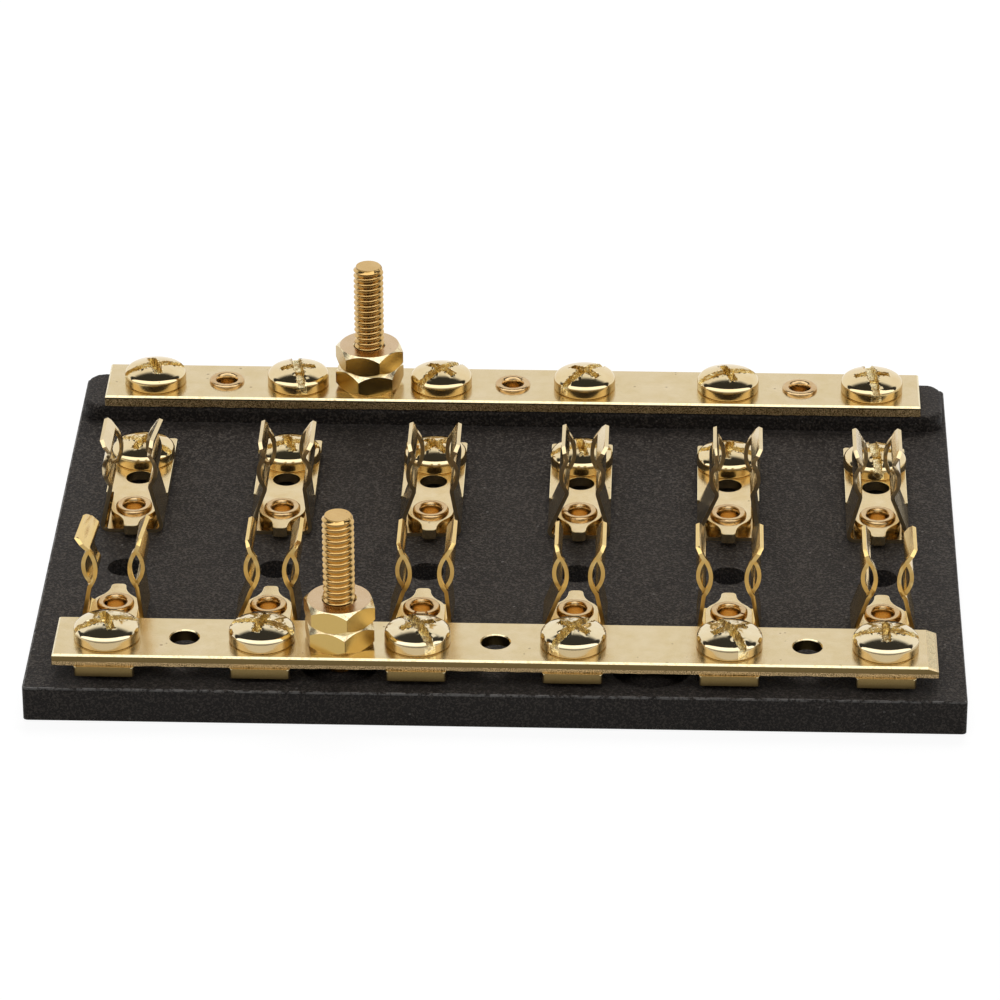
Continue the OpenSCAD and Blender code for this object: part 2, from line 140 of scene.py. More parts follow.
class Workpiece:
    """A mesh on the bench, in millimetres, shaped with Blender's own operators."""

    def __init__(self, obj: bpy.types.Object) -> None:
        """Hold a mesh object."""
        self.obj = obj

    @classmethod
    def taken(cls, name: str) -> "Workpiece":
        """Take up the active object, with its place applied to its mesh.

        Args:
            name: New name of the object and its mesh.

        Returns:
            The piece.
        """
        obj = bpy.context.object
        obj.name = obj.data.name = name
        bpy.ops.object.transform_apply(location=True, rotation=True, scale=True)
        return cls(obj)

    @classmethod
    def box(cls, name: str, low: Vec, high: Vec) -> "Workpiece":
        """Cut a block of stock.

        Args:
            name: Name of the piece.
            low: Lowest corner.
            high: Highest corner.

        Returns:
            The piece.
        """
        lay_down()
        middle = [(a + b) / 2 for a, b in zip(low, high)]
        size = [b - a for a, b in zip(low, high)]
        bpy.ops.mesh.primitive_cube_add(size=1, location=middle, scale=size)
        return cls.taken(name)

    @classmethod
    def rod(cls, name: str, radius: float, low: Vec, height: float, sides: int = 64) -> "Workpiece":
        """Cut a length of round or many-sided stock.

        Args:
            name: Name of the piece.
            radius: Radius at the corners.
            low: Middle of the lower end.
            height: Length along Z.
            sides: Number of sides.

        Returns:
            The piece.
        """
        lay_down()
        middle = (low[0], low[1], low[2] + height / 2)
        bpy.ops.mesh.primitive_cylinder_add(vertices=sides, radius=radius, depth=height, location=middle)
        return cls.taken(name)

    @classmethod
    def wire(cls, name: str, points: Sequence[Vec]) -> "Workpiece":
        """Draw a chain of edges, point by point.

        Args:
            name: Name of the piece.
            points: The points in order.

        Returns:
            The piece.
        """
        lay_down()
        bpy.ops.mesh.primitive_plane_add(size=1, location=points[0])
        piece = cls.taken(name)
        with piece.editing():
            bpy.ops.mesh.merge(type="CENTER")
            for a, b in pairwise(points):
                step = tuple(q - p for p, q in zip(a, b))
                bpy.ops.mesh.extrude_vertices_move(TRANSFORM_OT_translate={"value": step})
        return piece

    @classmethod
    def turned(cls, name: str, profile: Sequence[Point], steps: int = 64) -> "Workpiece":
        """Turn a profile about the Z axis.

        Args:
            name: Name of the piece.
            profile: Points of radius and height.
            steps: Number of steps round the axis.

        Returns:
            The piece, closed and facing outwards.
        """
        piece = cls.wire(name, [(r, 0.0, z) for r, z in profile])
        with piece.editing():
            bpy.ops.mesh.spin(steps=steps, angle=math.tau, center=(0, 0, 0), axis=(0, 0, 1))
        return piece.closed()

    @classmethod
    def ribbon(cls, name: str, path: Sequence[Point], start: float, end: float) -> "Workpiece":
        """Draw a path in the X-Z plane and pull it along Y.

        Args:
            name: Name of the piece.
            path: Points of X and Z.
            start: Y of the first edge.
            end: Y of the last edge.

        Returns:
            The open strip.
        """
        piece = cls.wire(name, [(x, start, z) for x, z in path])
        with piece.editing():
            bpy.ops.mesh.extrude_region_move(TRANSFORM_OT_translate={"value": (0, end - start, 0)})
        return piece

    @classmethod
    def slab(cls, name: str, outline: Sequence[Point], low: float, height: float) -> "Workpiece":
        """Fill an outline and pull it up.

        Args:
            name: Name of the piece.
            outline: Points of X and Y, the first one not repeated.
            low: Height of the underside.
            height: Thickness.

        Returns:
            The closed piece.
        """
        piece = cls.wire(name, [(x, y, low) for x, y in [*outline, outline[0]]])
        with piece.editing():
            bpy.ops.mesh.remove_doubles(threshold=1e-4)
            bpy.ops.mesh.edge_face_add()
            bpy.ops.mesh.extrude_region_move(TRANSFORM_OT_translate={"value": (0, 0, height)})
        return piece.closed()

    def hold(self) -> None:
        """Make this piece the only one selected."""
        lay_down()
        self.obj.select_set(True)
        bpy.context.view_layer.objects.active = self.obj

    @contextmanager
    def editing(self) -> Iterator[None]:
        """Work in edit mode with everything selected."""
        self.hold()
        bpy.ops.object.mode_set(mode="EDIT")
        bpy.ops.mesh.select_mode(type="VERT")
        bpy.ops.mesh.select_all(action="SELECT")
        yield
        bpy.ops.object.mode_set(mode="OBJECT")

    def closed(self) -> "Workpiece":
        """Merge doubles and turn the faces outwards.

        Returns:
            The piece.
        """
        with self.editing():
            bpy.ops.mesh.remove_doubles(threshold=1e-4)
            bpy.ops.mesh.normals_make_consistent(inside=False)
        return self

    def pick_points(self, test: PointTest) -> None:
        """Select the points that pass a test, in edit mode."""
        self.pick("VERT", lambda mesh: [(vert, test(vert.co)) for vert in mesh.verts])

    def pick_edges(self, test: EdgeTest) -> None:
        """Select the edges whose two ends pass a test, in edit mode."""
        self.pick("EDGE", lambda mesh: [(edge, test(*(v.co for v in edge.verts))) for edge in mesh.edges])

    def pick(self, mode: str, judge: Callable[[bmesh.types.BMesh], list[tuple[Any, bool]]]) -> None:
        """Select parts of the mesh, in edit mode.

        Args:
            mode: VERT or EDGE.
            judge: Gives the parts of a mesh, each with whether it is selected.
        """
        bpy.ops.mesh.select_mode(type=mode)
        bpy.ops.mesh.select_all(action="DESELECT")
        mesh = bmesh.from_edit_mesh(self.obj.data)
        for part, picked in judge(mesh):
            part.select_set(picked)
        mesh.select_flush_mode()
        bmesh.update_edit_mesh(self.obj.data)

    def modify(self, kind: str, **settings: Any) -> "Workpiece":
        """Add a modifier and apply it.

        Args:
            kind: Blender's name of the modifier.
            **settings: Its settings.

        Returns:
            The piece.
        """
        self.hold()
        modifier = self.obj.modifiers.new(kind.lower(), kind)
        for key, value in settings.items():
            setattr(modifier, key, value)
        bpy.ops.object.modifier_apply(modifier=modifier.name)
        return self

    def combine(self, tool: "Workpiece", operation: str = "DIFFERENCE") -> "Workpiece":
        """Cut, add or trim with another piece, which is used up.

        Args:
            tool: The other piece.
            operation: DIFFERENCE, UNION or INTERSECT.

        Returns:
            The piece.
        """
        self.modify("BOOLEAN", object=tool.obj, operation=operation, solver="EXACT")
        tool.scrapped()
        return self

    def joined(self, others: Sequence["Workpiece"]) -> "Workpiece":
        """Join other pieces to this one.

        Args:
            others: The other pieces, which are used up.

        Returns:
            The piece.
        """
        self.hold()
        for other in others:
            other.obj.select_set(True)
        bpy.ops.object.join()
        return self

    def copied(self, name: str, at: Sequence[float] = (0, 0, 0), turn: float = 0.0) -> "Workpiece":
        """Make a copy with a mesh of its own.

        Args:
            name: Name of the copy.
            at: Where the copy's origin goes.
            turn: Turn about Z in degrees.

        Returns:
            The copy.
        """
        self.hold()
        bpy.ops.object.duplicate(linked=False)
        bpy.context.object.location = at
        bpy.context.object.rotation_euler.z = math.radians(turn)
        return Workpiece.taken(name)

    def moved(self, at: Sequence[float]) -> "Workpiece":
        """Move the piece to a place.

        Args:
            at: Where its origin goes.

        Returns:
            The piece.
        """
        self.hold()
        self.obj.location = at
        return Workpiece.taken(self.obj.name)

    def scrapped(self) -> None:
        """Throw the piece away."""
        bpy.data.meshes.remove(self.obj.data)

    def roughened(self, test: PointTest, amount: float, seed: int) -> "Workpiece":
        """Push points about at random.

        Args:
            test: Says which points move.
            amount: How far they move.
            seed: Seed of the draw.

        Returns:
            The piece.
        """
        with self.editing():
            self.pick_points(test)
            bpy.ops.transform.vertex_random(offset=amount, uniform=0.6, normal=0.0, seed=seed)
        return self

    def edged(self, width: float, segments: int = 2, angle: float = 30.0) -> "Workpiece":
        """Round the sharp edges and mark the rounding as worn edge.

        Args:
            width: Width of the rounding.
            segments: Number of faces across it.
            angle: Edges sharper than this are rounded.

        Returns:
            The piece, with a face attribute named edge.
        """
        data = self.obj.data
        data.materials.clear()
        for _ in range(2):
            data.materials.append(None)
        self.modify(
            "BEVEL", width=width, segments=segments, limit_method="ANGLE", angle_limit=math.radians(angle),
            material=1, use_clamp_overlap=True, miter_outer="MITER_ARC",
        )
        mask = data.attributes.new("edge", "FLOAT", "FACE")
        mask.data.foreach_set("value", [float(face.material_index == 1) for face in data.polygons])
        for face in data.polygons:
            face.material_index = 0
        data.materials.clear()
        return self

    def marked(self, name: str, test: FaceTest) -> "Workpiece":
        """Mark faces for a material.

        Args:
            name: Name of the face attribute.
            test: Says of a face's middle and normal how far it is marked, from 0 to 1.

        Returns:
            The piece.
        """
        data = self.obj.data
        mask = data.attributes.new(name, "FLOAT", "FACE")
        mask.data.foreach_set("value", [float(test(face.center, face.normal)) for face in data.polygons])
        return self

    def sound(self) -> "Workpiece":
        """Drop faces that Blender calls invalid, which an export would tear open.

        Returns:
            The piece.
        """
        if self.obj.data.validate(clean_customdata=False):
            log.info("%s: invalid faces dropped", self.obj.name)
        return self

    def smoothed(self, angle: float = 40.0) -> "Workpiece":
        """Shade soft bends smooth and keep flats flat.

        Args:
            angle: Edges sharper than this stay sharp.

        Returns:
            The piece.
        """
        self.hold()
        bpy.ops.object.shade_smooth_by_angle(angle=math.radians(angle))
        return self.modify("WEIGHTED_NORMAL", keep_sharp=True, weight=80)

    def dressed(self, material: bpy.types.Material, slot: str, body: str, *nodes: str) -> None:
        """Bring the piece into the frame, dress it and seat it on its body.

        Args:
            material: Finish of the piece.
            slot: The record's material slot; not used.
            body: The CAD body that carries it.
            *nodes: The CAD nodes that it stands for.
        """
        self.hold()
        self.obj.scale = (MM, MM, MM)
        bpy.ops.object.transform_apply(location=True, rotation=True, scale=True)
        self.obj.data.materials.clear()
        self.obj.data.materials.append(material)
        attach(self.obj, body)
        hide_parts(*nodes)
        log.info("%s: %d faces on %s", self.obj.name, len(self.obj.data.polygons), body)


class Nodes:
    """Short hand for wiring one node tree."""

    def __init__(self, tree: bpy.types.NodeTree) -> None:
        """Hold a node tree."""
        self.tree = tree

    @classmethod
    def of_material(cls, name: str) -> tuple[bpy.types.Material, "Nodes"]:
        """Start a material.

        Args:
            name: Name of the material.

        Returns:
            The material and its nodes.
        """
        material = bpy.data.materials.new(name)
        material.use_nodes = True
        return material, cls(material.node_tree)

    def add(self, kind: str, inputs: dict[Any, Any] | None = None, **settings: Any) -> bpy.types.Node:
        """Add a node.

        Args:
            kind: Type of the node, without its ShaderNode prefix.
            inputs: Values or sockets for its inputs, by name or number.
            **settings: Properties of the node.

        Returns:
            The node.
        """
        node = self.tree.nodes.new(kind if kind.startswith("Node") else f"ShaderNode{kind}")
        for key, value in settings.items():
            setattr(node, key, value)
        self.feed(node, inputs or {})
        return node

    def feed(self, node: bpy.types.Node, inputs: dict[Any, Any]) -> None:
        """Link or set the inputs of a node.

        Args:
            node: The node.
            inputs: Values or sockets for its inputs, by name or number.
        """
        for key, value in inputs.items():
            if isinstance(value, bpy.types.NodeSocket):
                self.tree.links.new(value, node.inputs[key])
            else:
                node.inputs[key].default_value = value

    def math(self, operation: str, *values: Any, clamp: bool = False) -> bpy.types.NodeSocket:
        """Add a Math node and return its result."""
        return self.add("Math", dict(enumerate(values)), operation=operation, use_clamp=clamp).outputs[0]

    def ramp(
        self, value: Any, low: float, high: float, start: float = 0.0, end: float = 1.0,
    ) -> bpy.types.NodeSocket:
        """Map a value softly from the range low to high onto the range start to end."""
        inputs = {"Value": value, "From Min": low, "From Max": high, "To Min": start, "To Max": end}
        return self.add("MapRange", inputs, interpolation_type="SMOOTHSTEP").outputs["Result"]

    def blend(self, share: Any, first: Any, second: Any) -> bpy.types.NodeSocket:
        """Mix two colours by a share and return the result."""
        return self.add("Mix", {0: share, 6: first, 7: second}, data_type="RGBA").outputs[2]

    def between(self, share: Any, first: Any, second: Any) -> bpy.types.NodeSocket:
        """Mix two values by a share and return the result."""
        return self.add("Mix", {0: share, 2: first, 3: second}, data_type="FLOAT").outputs[0]

    def group(self, effect: "Effect", **inputs: Any) -> bpy.types.NodeSocket:
        """Place a shared effect and return its result."""
        named = {key.title(): value for key, value in inputs.items()}
        return self.add("Group", named, node_tree=effect.tree()).outputs[0]

    def mask(self, name: str) -> bpy.types.NodeSocket:
        """Read a face attribute as a mask."""
        return self.add("Attribute", attribute_name=name).outputs["Fac"]


class Effect(Enum):
    """Surface effects that several finishes share, each one node group."""

    MOTTLE = "mottle"
    SPECKS = "specks"
    HAIRLINES = "hairlines"
    RUB = "rub"

    def tree(self) -> bpy.types.NodeTree:
        """The effect's node group.

        Returns:
            The group, built on first use.
        """
        found = bpy.data.node_groups.get(self.value)
        if found:
            return found
        tree = bpy.data.node_groups.new(self.value, "ShaderNodeTree")
        tree.interface.new_socket("Value", in_out="OUTPUT", socket_type="NodeSocketFloat")
        tree.interface.new_socket("Vector", in_out="INPUT", socket_type="NodeSocketVector")
        for name in ("Size", "Amount"):
            tree.interface.new_socket(name, in_out="INPUT", socket_type="NodeSocketFloat")
        if self is Effect.RUB:
            tree.interface.new_socket("Edge", in_out="INPUT", socket_type="NodeSocketFloat")
        nodes = Nodes(tree)
        given = nodes.add("NodeGroupInput").outputs
        scale = nodes.math("DIVIDE", 1 / MM, given["Size"])
        wires = {
            Effect.MOTTLE: self._mottle, Effect.SPECKS: self._specks,
            Effect.HAIRLINES: self._hairlines, Effect.RUB: self._rub,
        }
        nodes.add("NodeGroupOutput", {0: wires[self](nodes, given, scale)})
        return tree

    def _mottle(self, nodes: Nodes, given: Any, scale: Any) -> bpy.types.NodeSocket:
        """Cloudy patches, amount setting their contrast.

        Args:
            nodes: The group's nodes.
            given: The group's inputs.
            scale: Scale of the pattern.

        Returns:
            The effect's result.
        """
        clouds = {"Vector": given["Vector"], "Scale": scale, "Detail": 4.0, "Roughness": 0.6}
        noise = nodes.add("TexNoise", clouds)
        swing = nodes.math("MULTIPLY", nodes.math("SUBTRACT", noise.outputs[0], 0.5), given["Amount"])
        return nodes.math("ADD", swing, 0.5, clamp=True)

    def _specks(self, nodes: Nodes, given: Any, scale: Any) -> bpy.types.NodeSocket:
        """Scattered dots, amount setting the share of cells that have one.

        Args:
            nodes: The group's nodes.
            given: The group's inputs.
            scale: Scale of the pattern.

        Returns:
            The effect's result.
        """
        cells = nodes.add("TexVoronoi", {"Vector": given["Vector"], "Scale": scale})
        pick = nodes.add("SeparateColor", {0: cells.outputs["Color"]}).outputs
        size = nodes.math("MULTIPLY", pick[1], WIDEST_SPECK)
        dot = nodes.math("LESS_THAN", cells.outputs["Distance"], size)
        return nodes.math("MULTIPLY", dot, nodes.math("LESS_THAN", pick[0], given["Amount"]))

    def _hairlines(self, nodes: Nodes, given: Any, scale: Any) -> bpy.types.NodeSocket:
        """Fine drawn lines along X, amount setting their length against their width.

        Args:
            nodes: The group's nodes.
            given: The group's inputs.
            scale: Scale of the pattern.

        Returns:
            The effect's result.
        """
        parts = nodes.add("SeparateXYZ", {0: given["Vector"]}).outputs
        along = nodes.math("DIVIDE", parts[0], given["Amount"])
        drawn = nodes.add("CombineXYZ", {0: along, 1: parts[1], 2: parts[2]}).outputs[0]
        return nodes.add("TexNoise", {"Vector": drawn, "Scale": scale, "Detail": 3.0}).outputs[0]

    def _rub(self, nodes: Nodes, given: Any, scale: Any) -> bpy.types.NodeSocket:
        """Broken wear along marked edges, amount setting how much of them shows.

        Args:
            nodes: The group's nodes.
            given: The group's inputs.
            scale: Scale of the pattern.

        Returns:
            The effect's result.
        """
        breaks = {"Vector": given["Vector"], "Scale": scale, "Detail": 5.0, "Roughness": 0.7}
        noise = nodes.add("TexNoise", breaks)
        high = nodes.math("SUBTRACT", 1.0, given["Amount"])
        over = nodes.math("SUBTRACT", noise.outputs[0], high)
        broken = nodes.math("MULTIPLY", over, RUB_CONTRAST, clamp=True)
        return nodes.math("MULTIPLY", broken, given["Edge"])


@dataclass(frozen=True)
class Brass:
    """A brass finish: its tones, its polish and how its cut faces look."""

    name: str
    tone: Vec
    shade: Vec
    polish: float
    spread: float = 0.1
    patch: float = 2.5
    patch_contrast: float = 2.2
    grain: float = 0.12
    grain_contrast: float = 2.0
    bump: float = 0.3
    bump_height: float = 0.00002
    lines: float = 1.0
    line_share: float = 0.6
    pits: float = 0.04
    pit_size: float = 0.6
    pit_tone: Vec = (0.16, 0.10, 0.04)
    pit_share: float = 0.45
    edge_tone: Vec = (0.86, 0.74, 0.46)
    rub_size: float = 0.5
    rub_amount: float = 0.62
    # cut_tone colours faces marked cut. Some finishes use it for painted shade on bar sides, plate ends and
    # thread roots, and for painted light in eyelet bores.
    cut_tone: Vec = (0.13, 0.086, 0.028)
    cut_grain: float = 0.12
    cut_rough: float = 0.38
    tear_tone: Vec = (0.76, 0.56, 0.30)
    tear_rough: float = 0.55
    chew: float = 0.12
    chew_contrast: float = 2.6
    chew_depth: float = 0.0

    def material(self) -> bpy.types.Material:
        """The finish as a material.

        Returns:
            The material, built on first use.
        """
        found = bpy.data.materials.get(self.name)
        if found:
            return found
        material, nodes = Nodes.of_material(self.name)
        coords = nodes.add("TexCoord").outputs["Object"]
        patch = nodes.group(Effect.MOTTLE, vector=coords, size=self.patch, amount=self.patch_contrast)
        grain = nodes.group(Effect.MOTTLE, vector=coords, size=self.grain, amount=self.grain_contrast)
        drawn = nodes.group(Effect.HAIRLINES, vector=coords, size=self.grain, amount=self.lines)
        pits = nodes.group(Effect.SPECKS, vector=coords, size=self.pit_size, amount=self.pits)
        chewed = nodes.group(Effect.MOTTLE, vector=coords, size=self.chew, amount=self.chew_contrast)
        edge, cut, tear = (nodes.mask(name) for name in ("edge", "cut", "tear"))
        rub = nodes.group(Effect.RUB, vector=coords, size=self.rub_size, amount=self.rub_amount, edge=edge)

        tone = nodes.blend(patch, (*self.tone, 1), (*self.shade, 1))
        tone = nodes.blend(nodes.math("MULTIPLY", pits, self.pit_share), tone, (*self.pit_tone, 1))
        tone = nodes.blend(rub, tone, (*self.edge_tone, 1))
        dull = nodes.math("MULTIPLY", grain, self.cut_grain)
        tone = nodes.blend(cut, tone, nodes.blend(dull, (*self.cut_tone, 1), (*self.shade, 1)))
        torn = nodes.blend(nodes.ramp(chewed, 0.25, 0.75), (*self.cut_tone, 1), (*self.tear_tone, 1))
        tone = nodes.blend(tear, tone, torn)

        rough = nodes.math("MULTIPLY_ADD", grain, self.spread, self.polish)
        rough = nodes.between(cut, rough, self.cut_rough)
        rough = nodes.between(tear, rough, self.tear_rough)

        lines = nodes.math("MULTIPLY", drawn, self.line_share)
        height = nodes.math("ADD", lines, nodes.math("MULTIPLY", grain, 1 - self.line_share))
        height = nodes.math("MULTIPLY_ADD", nodes.math("MULTIPLY", chewed, tear), self.chew_depth, height)
        depth = nodes.between(tear, self.bump, 1.0)
        bump = nodes.add("Bump", {"Height": height, "Strength": depth, "Distance": self.bump_height})
        shader = nodes.tree.nodes["Principled BSDF"]
        nodes.feed(shader, {"Base Color": tone, "Roughness": rough, "Normal": bump.outputs[0]})
        nodes.feed(shader, {"Metallic": 1.0})
        return material


@dataclass(frozen=True)
class Moulding:
    """The dark moulded base: charcoal, fine grained, pale along its upper edges, partly wear and partly a
    painted highlight.
    """

    name: str = "charcoal_moulding"
    tone: Vec = (0.026, 0.022, 0.0195)
    shade: Vec = (0.0165, 0.014, 0.0125)
    patch: float = 6.0
    patch_contrast: float = 2.0
    grain: float = 0.29
    grain_contrast: float = 3.0
    grain_tone: Vec = (0.085, 0.074, 0.065)
    grain_height: float = 0.00012
    rough: float = 0.45
    spread: float = 0.2
    specular: float = 0.13
    # Pale tone along the rounded upper edges: edge wear and a painted highlight.
    worn_edge_and_sheen: Vec = (0.24, 0.23, 0.22)
    rub_size: float = 0.8
    rub_amount: float = 0.6
    edge_wear_and_sheen_share: float = 0.8
    dust: Vec = (0.32, 0.30, 0.28)
    dust_size: float = 0.6
    dust_amount: float = 0.04
    dust_share: float = 0.35

    def material(self) -> bpy.types.Material:
        """The finish as a material.

        Returns:
            The material.
        """
        material, nodes = Nodes.of_material(self.name)
        coords = nodes.add("TexCoord").outputs["Object"]
        patch = nodes.group(Effect.MOTTLE, vector=coords, size=self.patch, amount=self.patch_contrast)
        grain = nodes.group(Effect.MOTTLE, vector=coords, size=self.grain, amount=self.grain_contrast)
        dust = nodes.group(Effect.SPECKS, vector=coords, size=self.dust_size, amount=self.dust_amount)
        edge = nodes.mask("edge")
        rub = nodes.group(Effect.RUB, vector=coords, size=self.rub_size, amount=self.rub_amount, edge=edge)
        tone = nodes.blend(patch, (*self.shade, 1), (*self.tone, 1))
        tone = nodes.blend(nodes.ramp(grain, 0.45, 0.8), tone, (*self.grain_tone, 1))
        tone = nodes.blend(nodes.math("MULTIPLY", dust, self.dust_share), tone, (*self.dust, 1))
        tone = nodes.blend(nodes.math("MULTIPLY", rub, self.edge_wear_and_sheen_share), tone, (*self.worn_edge_and_sheen, 1))
        rough = nodes.math("MULTIPLY_ADD", grain, self.spread, self.rough)
        bump = nodes.add("Bump", {"Height": grain, "Strength": 1.0, "Distance": self.grain_height})
        shader = nodes.tree.nodes["Principled BSDF"]
        nodes.feed(shader, {"Base Color": tone, "Roughness": rough, "Normal": bump.outputs[0]})
        nodes.feed(shader, {"Specular IOR Level": self.specular})
        return material


# The bars' dark cut tone is painted shade on their upright faces.
BAR_FINISH = Brass("rolled_bar_brass", (0.73, 0.60, 0.38), (0.67, 0.53, 0.29), 0.16, lines=14.0)
# The plates' dark cut tone is painted shade on their outer end faces.
PLATE_FINISH = Brass(
    "stamped_plate_brass", (0.76, 0.62, 0.38), (0.70, 0.53, 0.27), 0.13, lines=6.0,
    cut_tone=(0.19, 0.13, 0.046),
)
# One stamping in two tones: the front clips' cut edges are painted darker as shade, the rear clips' paler.
CLIP_FINISH = Brass(
    "spring_clip_brass", (0.79, 0.58, 0.25), (0.73, 0.51, 0.19), 0.15, spread=0.06, bump=0.12, pits=0.01,
    cut_tone=(0.53, 0.37, 0.14), cut_rough=0.34,
)
PALE_CLIP_FINISH = replace(
    CLIP_FINISH, name="pale_clip_brass", tone=(0.75, 0.61, 0.37), shade=(0.69, 0.54, 0.30),
    cut_tone=(0.62, 0.50, 0.31),
)
# Its pale tear tone in the recesses is chewed wear with painted glints.
SCREW_FINISH = Brass(
    "bright_screw_brass", (0.82, 0.71, 0.49), (0.77, 0.63, 0.38), 0.06, spread=0.05, bump=0.05, pits=0.02,
    edge_tone=(0.95, 0.87, 0.66), cut_tone=(0.57, 0.44, 0.24), cut_rough=0.24, tear_tone=(1.0, 0.87, 0.52),
    tear_rough=0.16, chew=0.8, chew_depth=5.0,
)
WARM_SCREW_FINISH = replace(
    SCREW_FINISH, name="warm_screw_brass", tone=(0.80, 0.66, 0.40), shade=(0.74, 0.57, 0.31),
    cut_tone=(0.60, 0.43, 0.18),
)
# Its dark cut tone is painted shade in the thread roots.
STUD_FINISH = Brass(
    "satin_stud_brass", (0.68, 0.46, 0.19), (0.60, 0.38, 0.13), 0.16, spread=0.06, bump=0.12,
    cut_tone=(0.27, 0.16, 0.045), cut_rough=0.28,
)
NUT_FINISH = Brass(
    "satin_nut_brass", (0.66, 0.49, 0.31), (0.61, 0.43, 0.24), 0.20, bump=0.2,
    cut_tone=(0.52, 0.36, 0.11), cut_rough=0.24,
)
# Its pale cut tone is painted light in the eyelet bores.
EYELET_FINISH = Brass(
    "rolled_eyelet_brass", (0.68, 0.50, 0.27), (0.58, 0.38, 0.18), 0.16,
    cut_tone=(0.90, 0.70, 0.40), cut_rough=0.2,
)


@dataclass
class Base:
    """Moulded base plate with the rib under the rear bar."""

    plate_t: float = 4.5
    corner_r: float = 0.6
    edge_r: float = 0.25
    rib_d: float = 9.7
    rib_gap: float = 0.525
    rib_corner_r: float = 2.3
    rib_edge_r: float = 0.6
    mount_r: float = 2.25
    rivet_r: float = 1.775
    foot_r: float = 3.25
    foot_h: float = 1.2
    pocket_r: float = 2.5
    wide_pocket_r: float = 5.0
    floor: float = 1.2
    long_edge: float = 50.0
    chips: int = 160
    chip: float = 0.05
    chip_seed: int = 3
    rub_reach: float = 1.3

    def rounded_block(self, name: str, low: Vec, high: Vec, corner: float, edge: float) -> Workpiece:
        """A block with round corners in plan and rounded upper edges.

        Args:
            name: Name of the piece.
            low: Lowest corner.
            high: Highest corner.
            corner: Radius in plan.
            edge: Radius of the upper edges.

        Returns:
            The piece.
        """
        piece = Workpiece.box(name, low, high)
        with piece.editing():
            piece.pick_edges(lambda a, b: abs(a.z - b.z) > high[2] / 2)
            bpy.ops.mesh.bevel(offset=corner, segments=6, affect="EDGES")
            piece.pick_edges(lambda a, b: min(a.z, b.z) > high[2] - TINY)
            bpy.ops.mesh.bevel(offset=edge, segments=3, affect="EDGES")
            piece.pick_edges(lambda a, b: abs(a.x - b.x) > self.long_edge)
            bpy.ops.mesh.subdivide(number_cuts=self.chips)
        return piece.roughened(lambda p: 0.02 < high[2] - p.z < edge - 0.02, self.chip, self.chip_seed)

    def holes(self, top: float, rib_top: float) -> list[Workpiece]:
        """Tools for every hole and pocket of the base.

        Args:
            top: Height of the plate.
            rib_top: Height of the rib.

        Returns:
            The cutting tools.
        """
        tools = []

        def pocket(x: float, y: float, radius: float, high: float) -> None:
            """Add the tool of a blind pocket."""
            tools.append(Workpiece.rod("pocket", radius, (x, y, self.floor), high - self.floor + 1))

        def rivet(x: float, y: float, high: float) -> None:
            """Add the tool of an eyelet's hole and its counterbore.

            Args:
                x: Place along X.
                y: Place along Y.
                high: Height that the hole reaches.
            """
            profile = [
                (0, -1), (self.foot_r, -1), (self.foot_r, self.foot_h), (self.rivet_r, self.foot_h),
                (self.rivet_r, high + 1), (0, high + 1),
            ]
            tools.append(Workpiece.turned("rivet_hole", profile, 48).moved((x, y, 0)))

        for i in WAYS:
            for row, high in (("front_bar", top), ("rear_clip", top), ("rear_bar", rib_top)):
                screw = Seat.of(f"{row}_screw_{i}")
                pocket(screw.x, screw.y, self.pocket_r, high)
            front = Seat.of(f"front_clip_{i}")
            front_y = front.low.y + SpringClips.stop_reach
            rear_y = Seat.of(f"rear_clip_{i}").high.y - SpringClips.stop_reach
            rivet(front.x, front_y, top)
            rivet(front.x, rear_y, top)
            mount = (front.x, (front_y + rear_y) / 2, -1)
            tools.append(Workpiece.rod("mount_hole", self.mount_r, mount, top + 2))
        for side in (1, -1):
            for row, radius, high in (("front", self.wide_pocket_r, top), ("rear", self.pocket_r, rib_top)):
                stud = Seat.of(f"{row}_stud")
                pocket(side * stud.x, stud.y, radius, high)
        rear = Seat.of("rear_stud")
        for k in (-1, 0, 1):
            rivet(2 * k * rear.x, rear.y, rib_top)
        return tools

    def build(self) -> None:
        """Model the base and dress it."""
        seat = Seat.of("base")
        low, high = seat.low, seat.high
        rib_y = Seat.of("rear_bar_screw_1").y
        top = (high.x, high.y, self.plate_t)
        piece = self.rounded_block("moulded_base", tuple(low), top, self.corner_r, self.edge_r)
        rib = self.rounded_block(
            "rib", (low.x + self.rib_gap, rib_y - self.rib_d / 2, 0),
            (high.x - self.rib_gap, rib_y + self.rib_d / 2, high.z), self.rib_corner_r, self.rib_edge_r,
        )
        piece.combine(rib, "UNION")
        tools = self.holes(self.plate_t, high.z)
        piece.combine(tools[0].joined(tools[1:]))
        # The rounded upper edges are marked for pale wear that is partly a painted highlight.
        rub_low = self.plate_t - self.edge_r * self.rub_reach
        piece.marked("edge", lambda c, n: rub_low < c.z < self.plate_t and abs(n.z) < FLAT)
        piece.smoothed()
        piece.dressed(Moulding().material(), "base", BLOCK, "base")


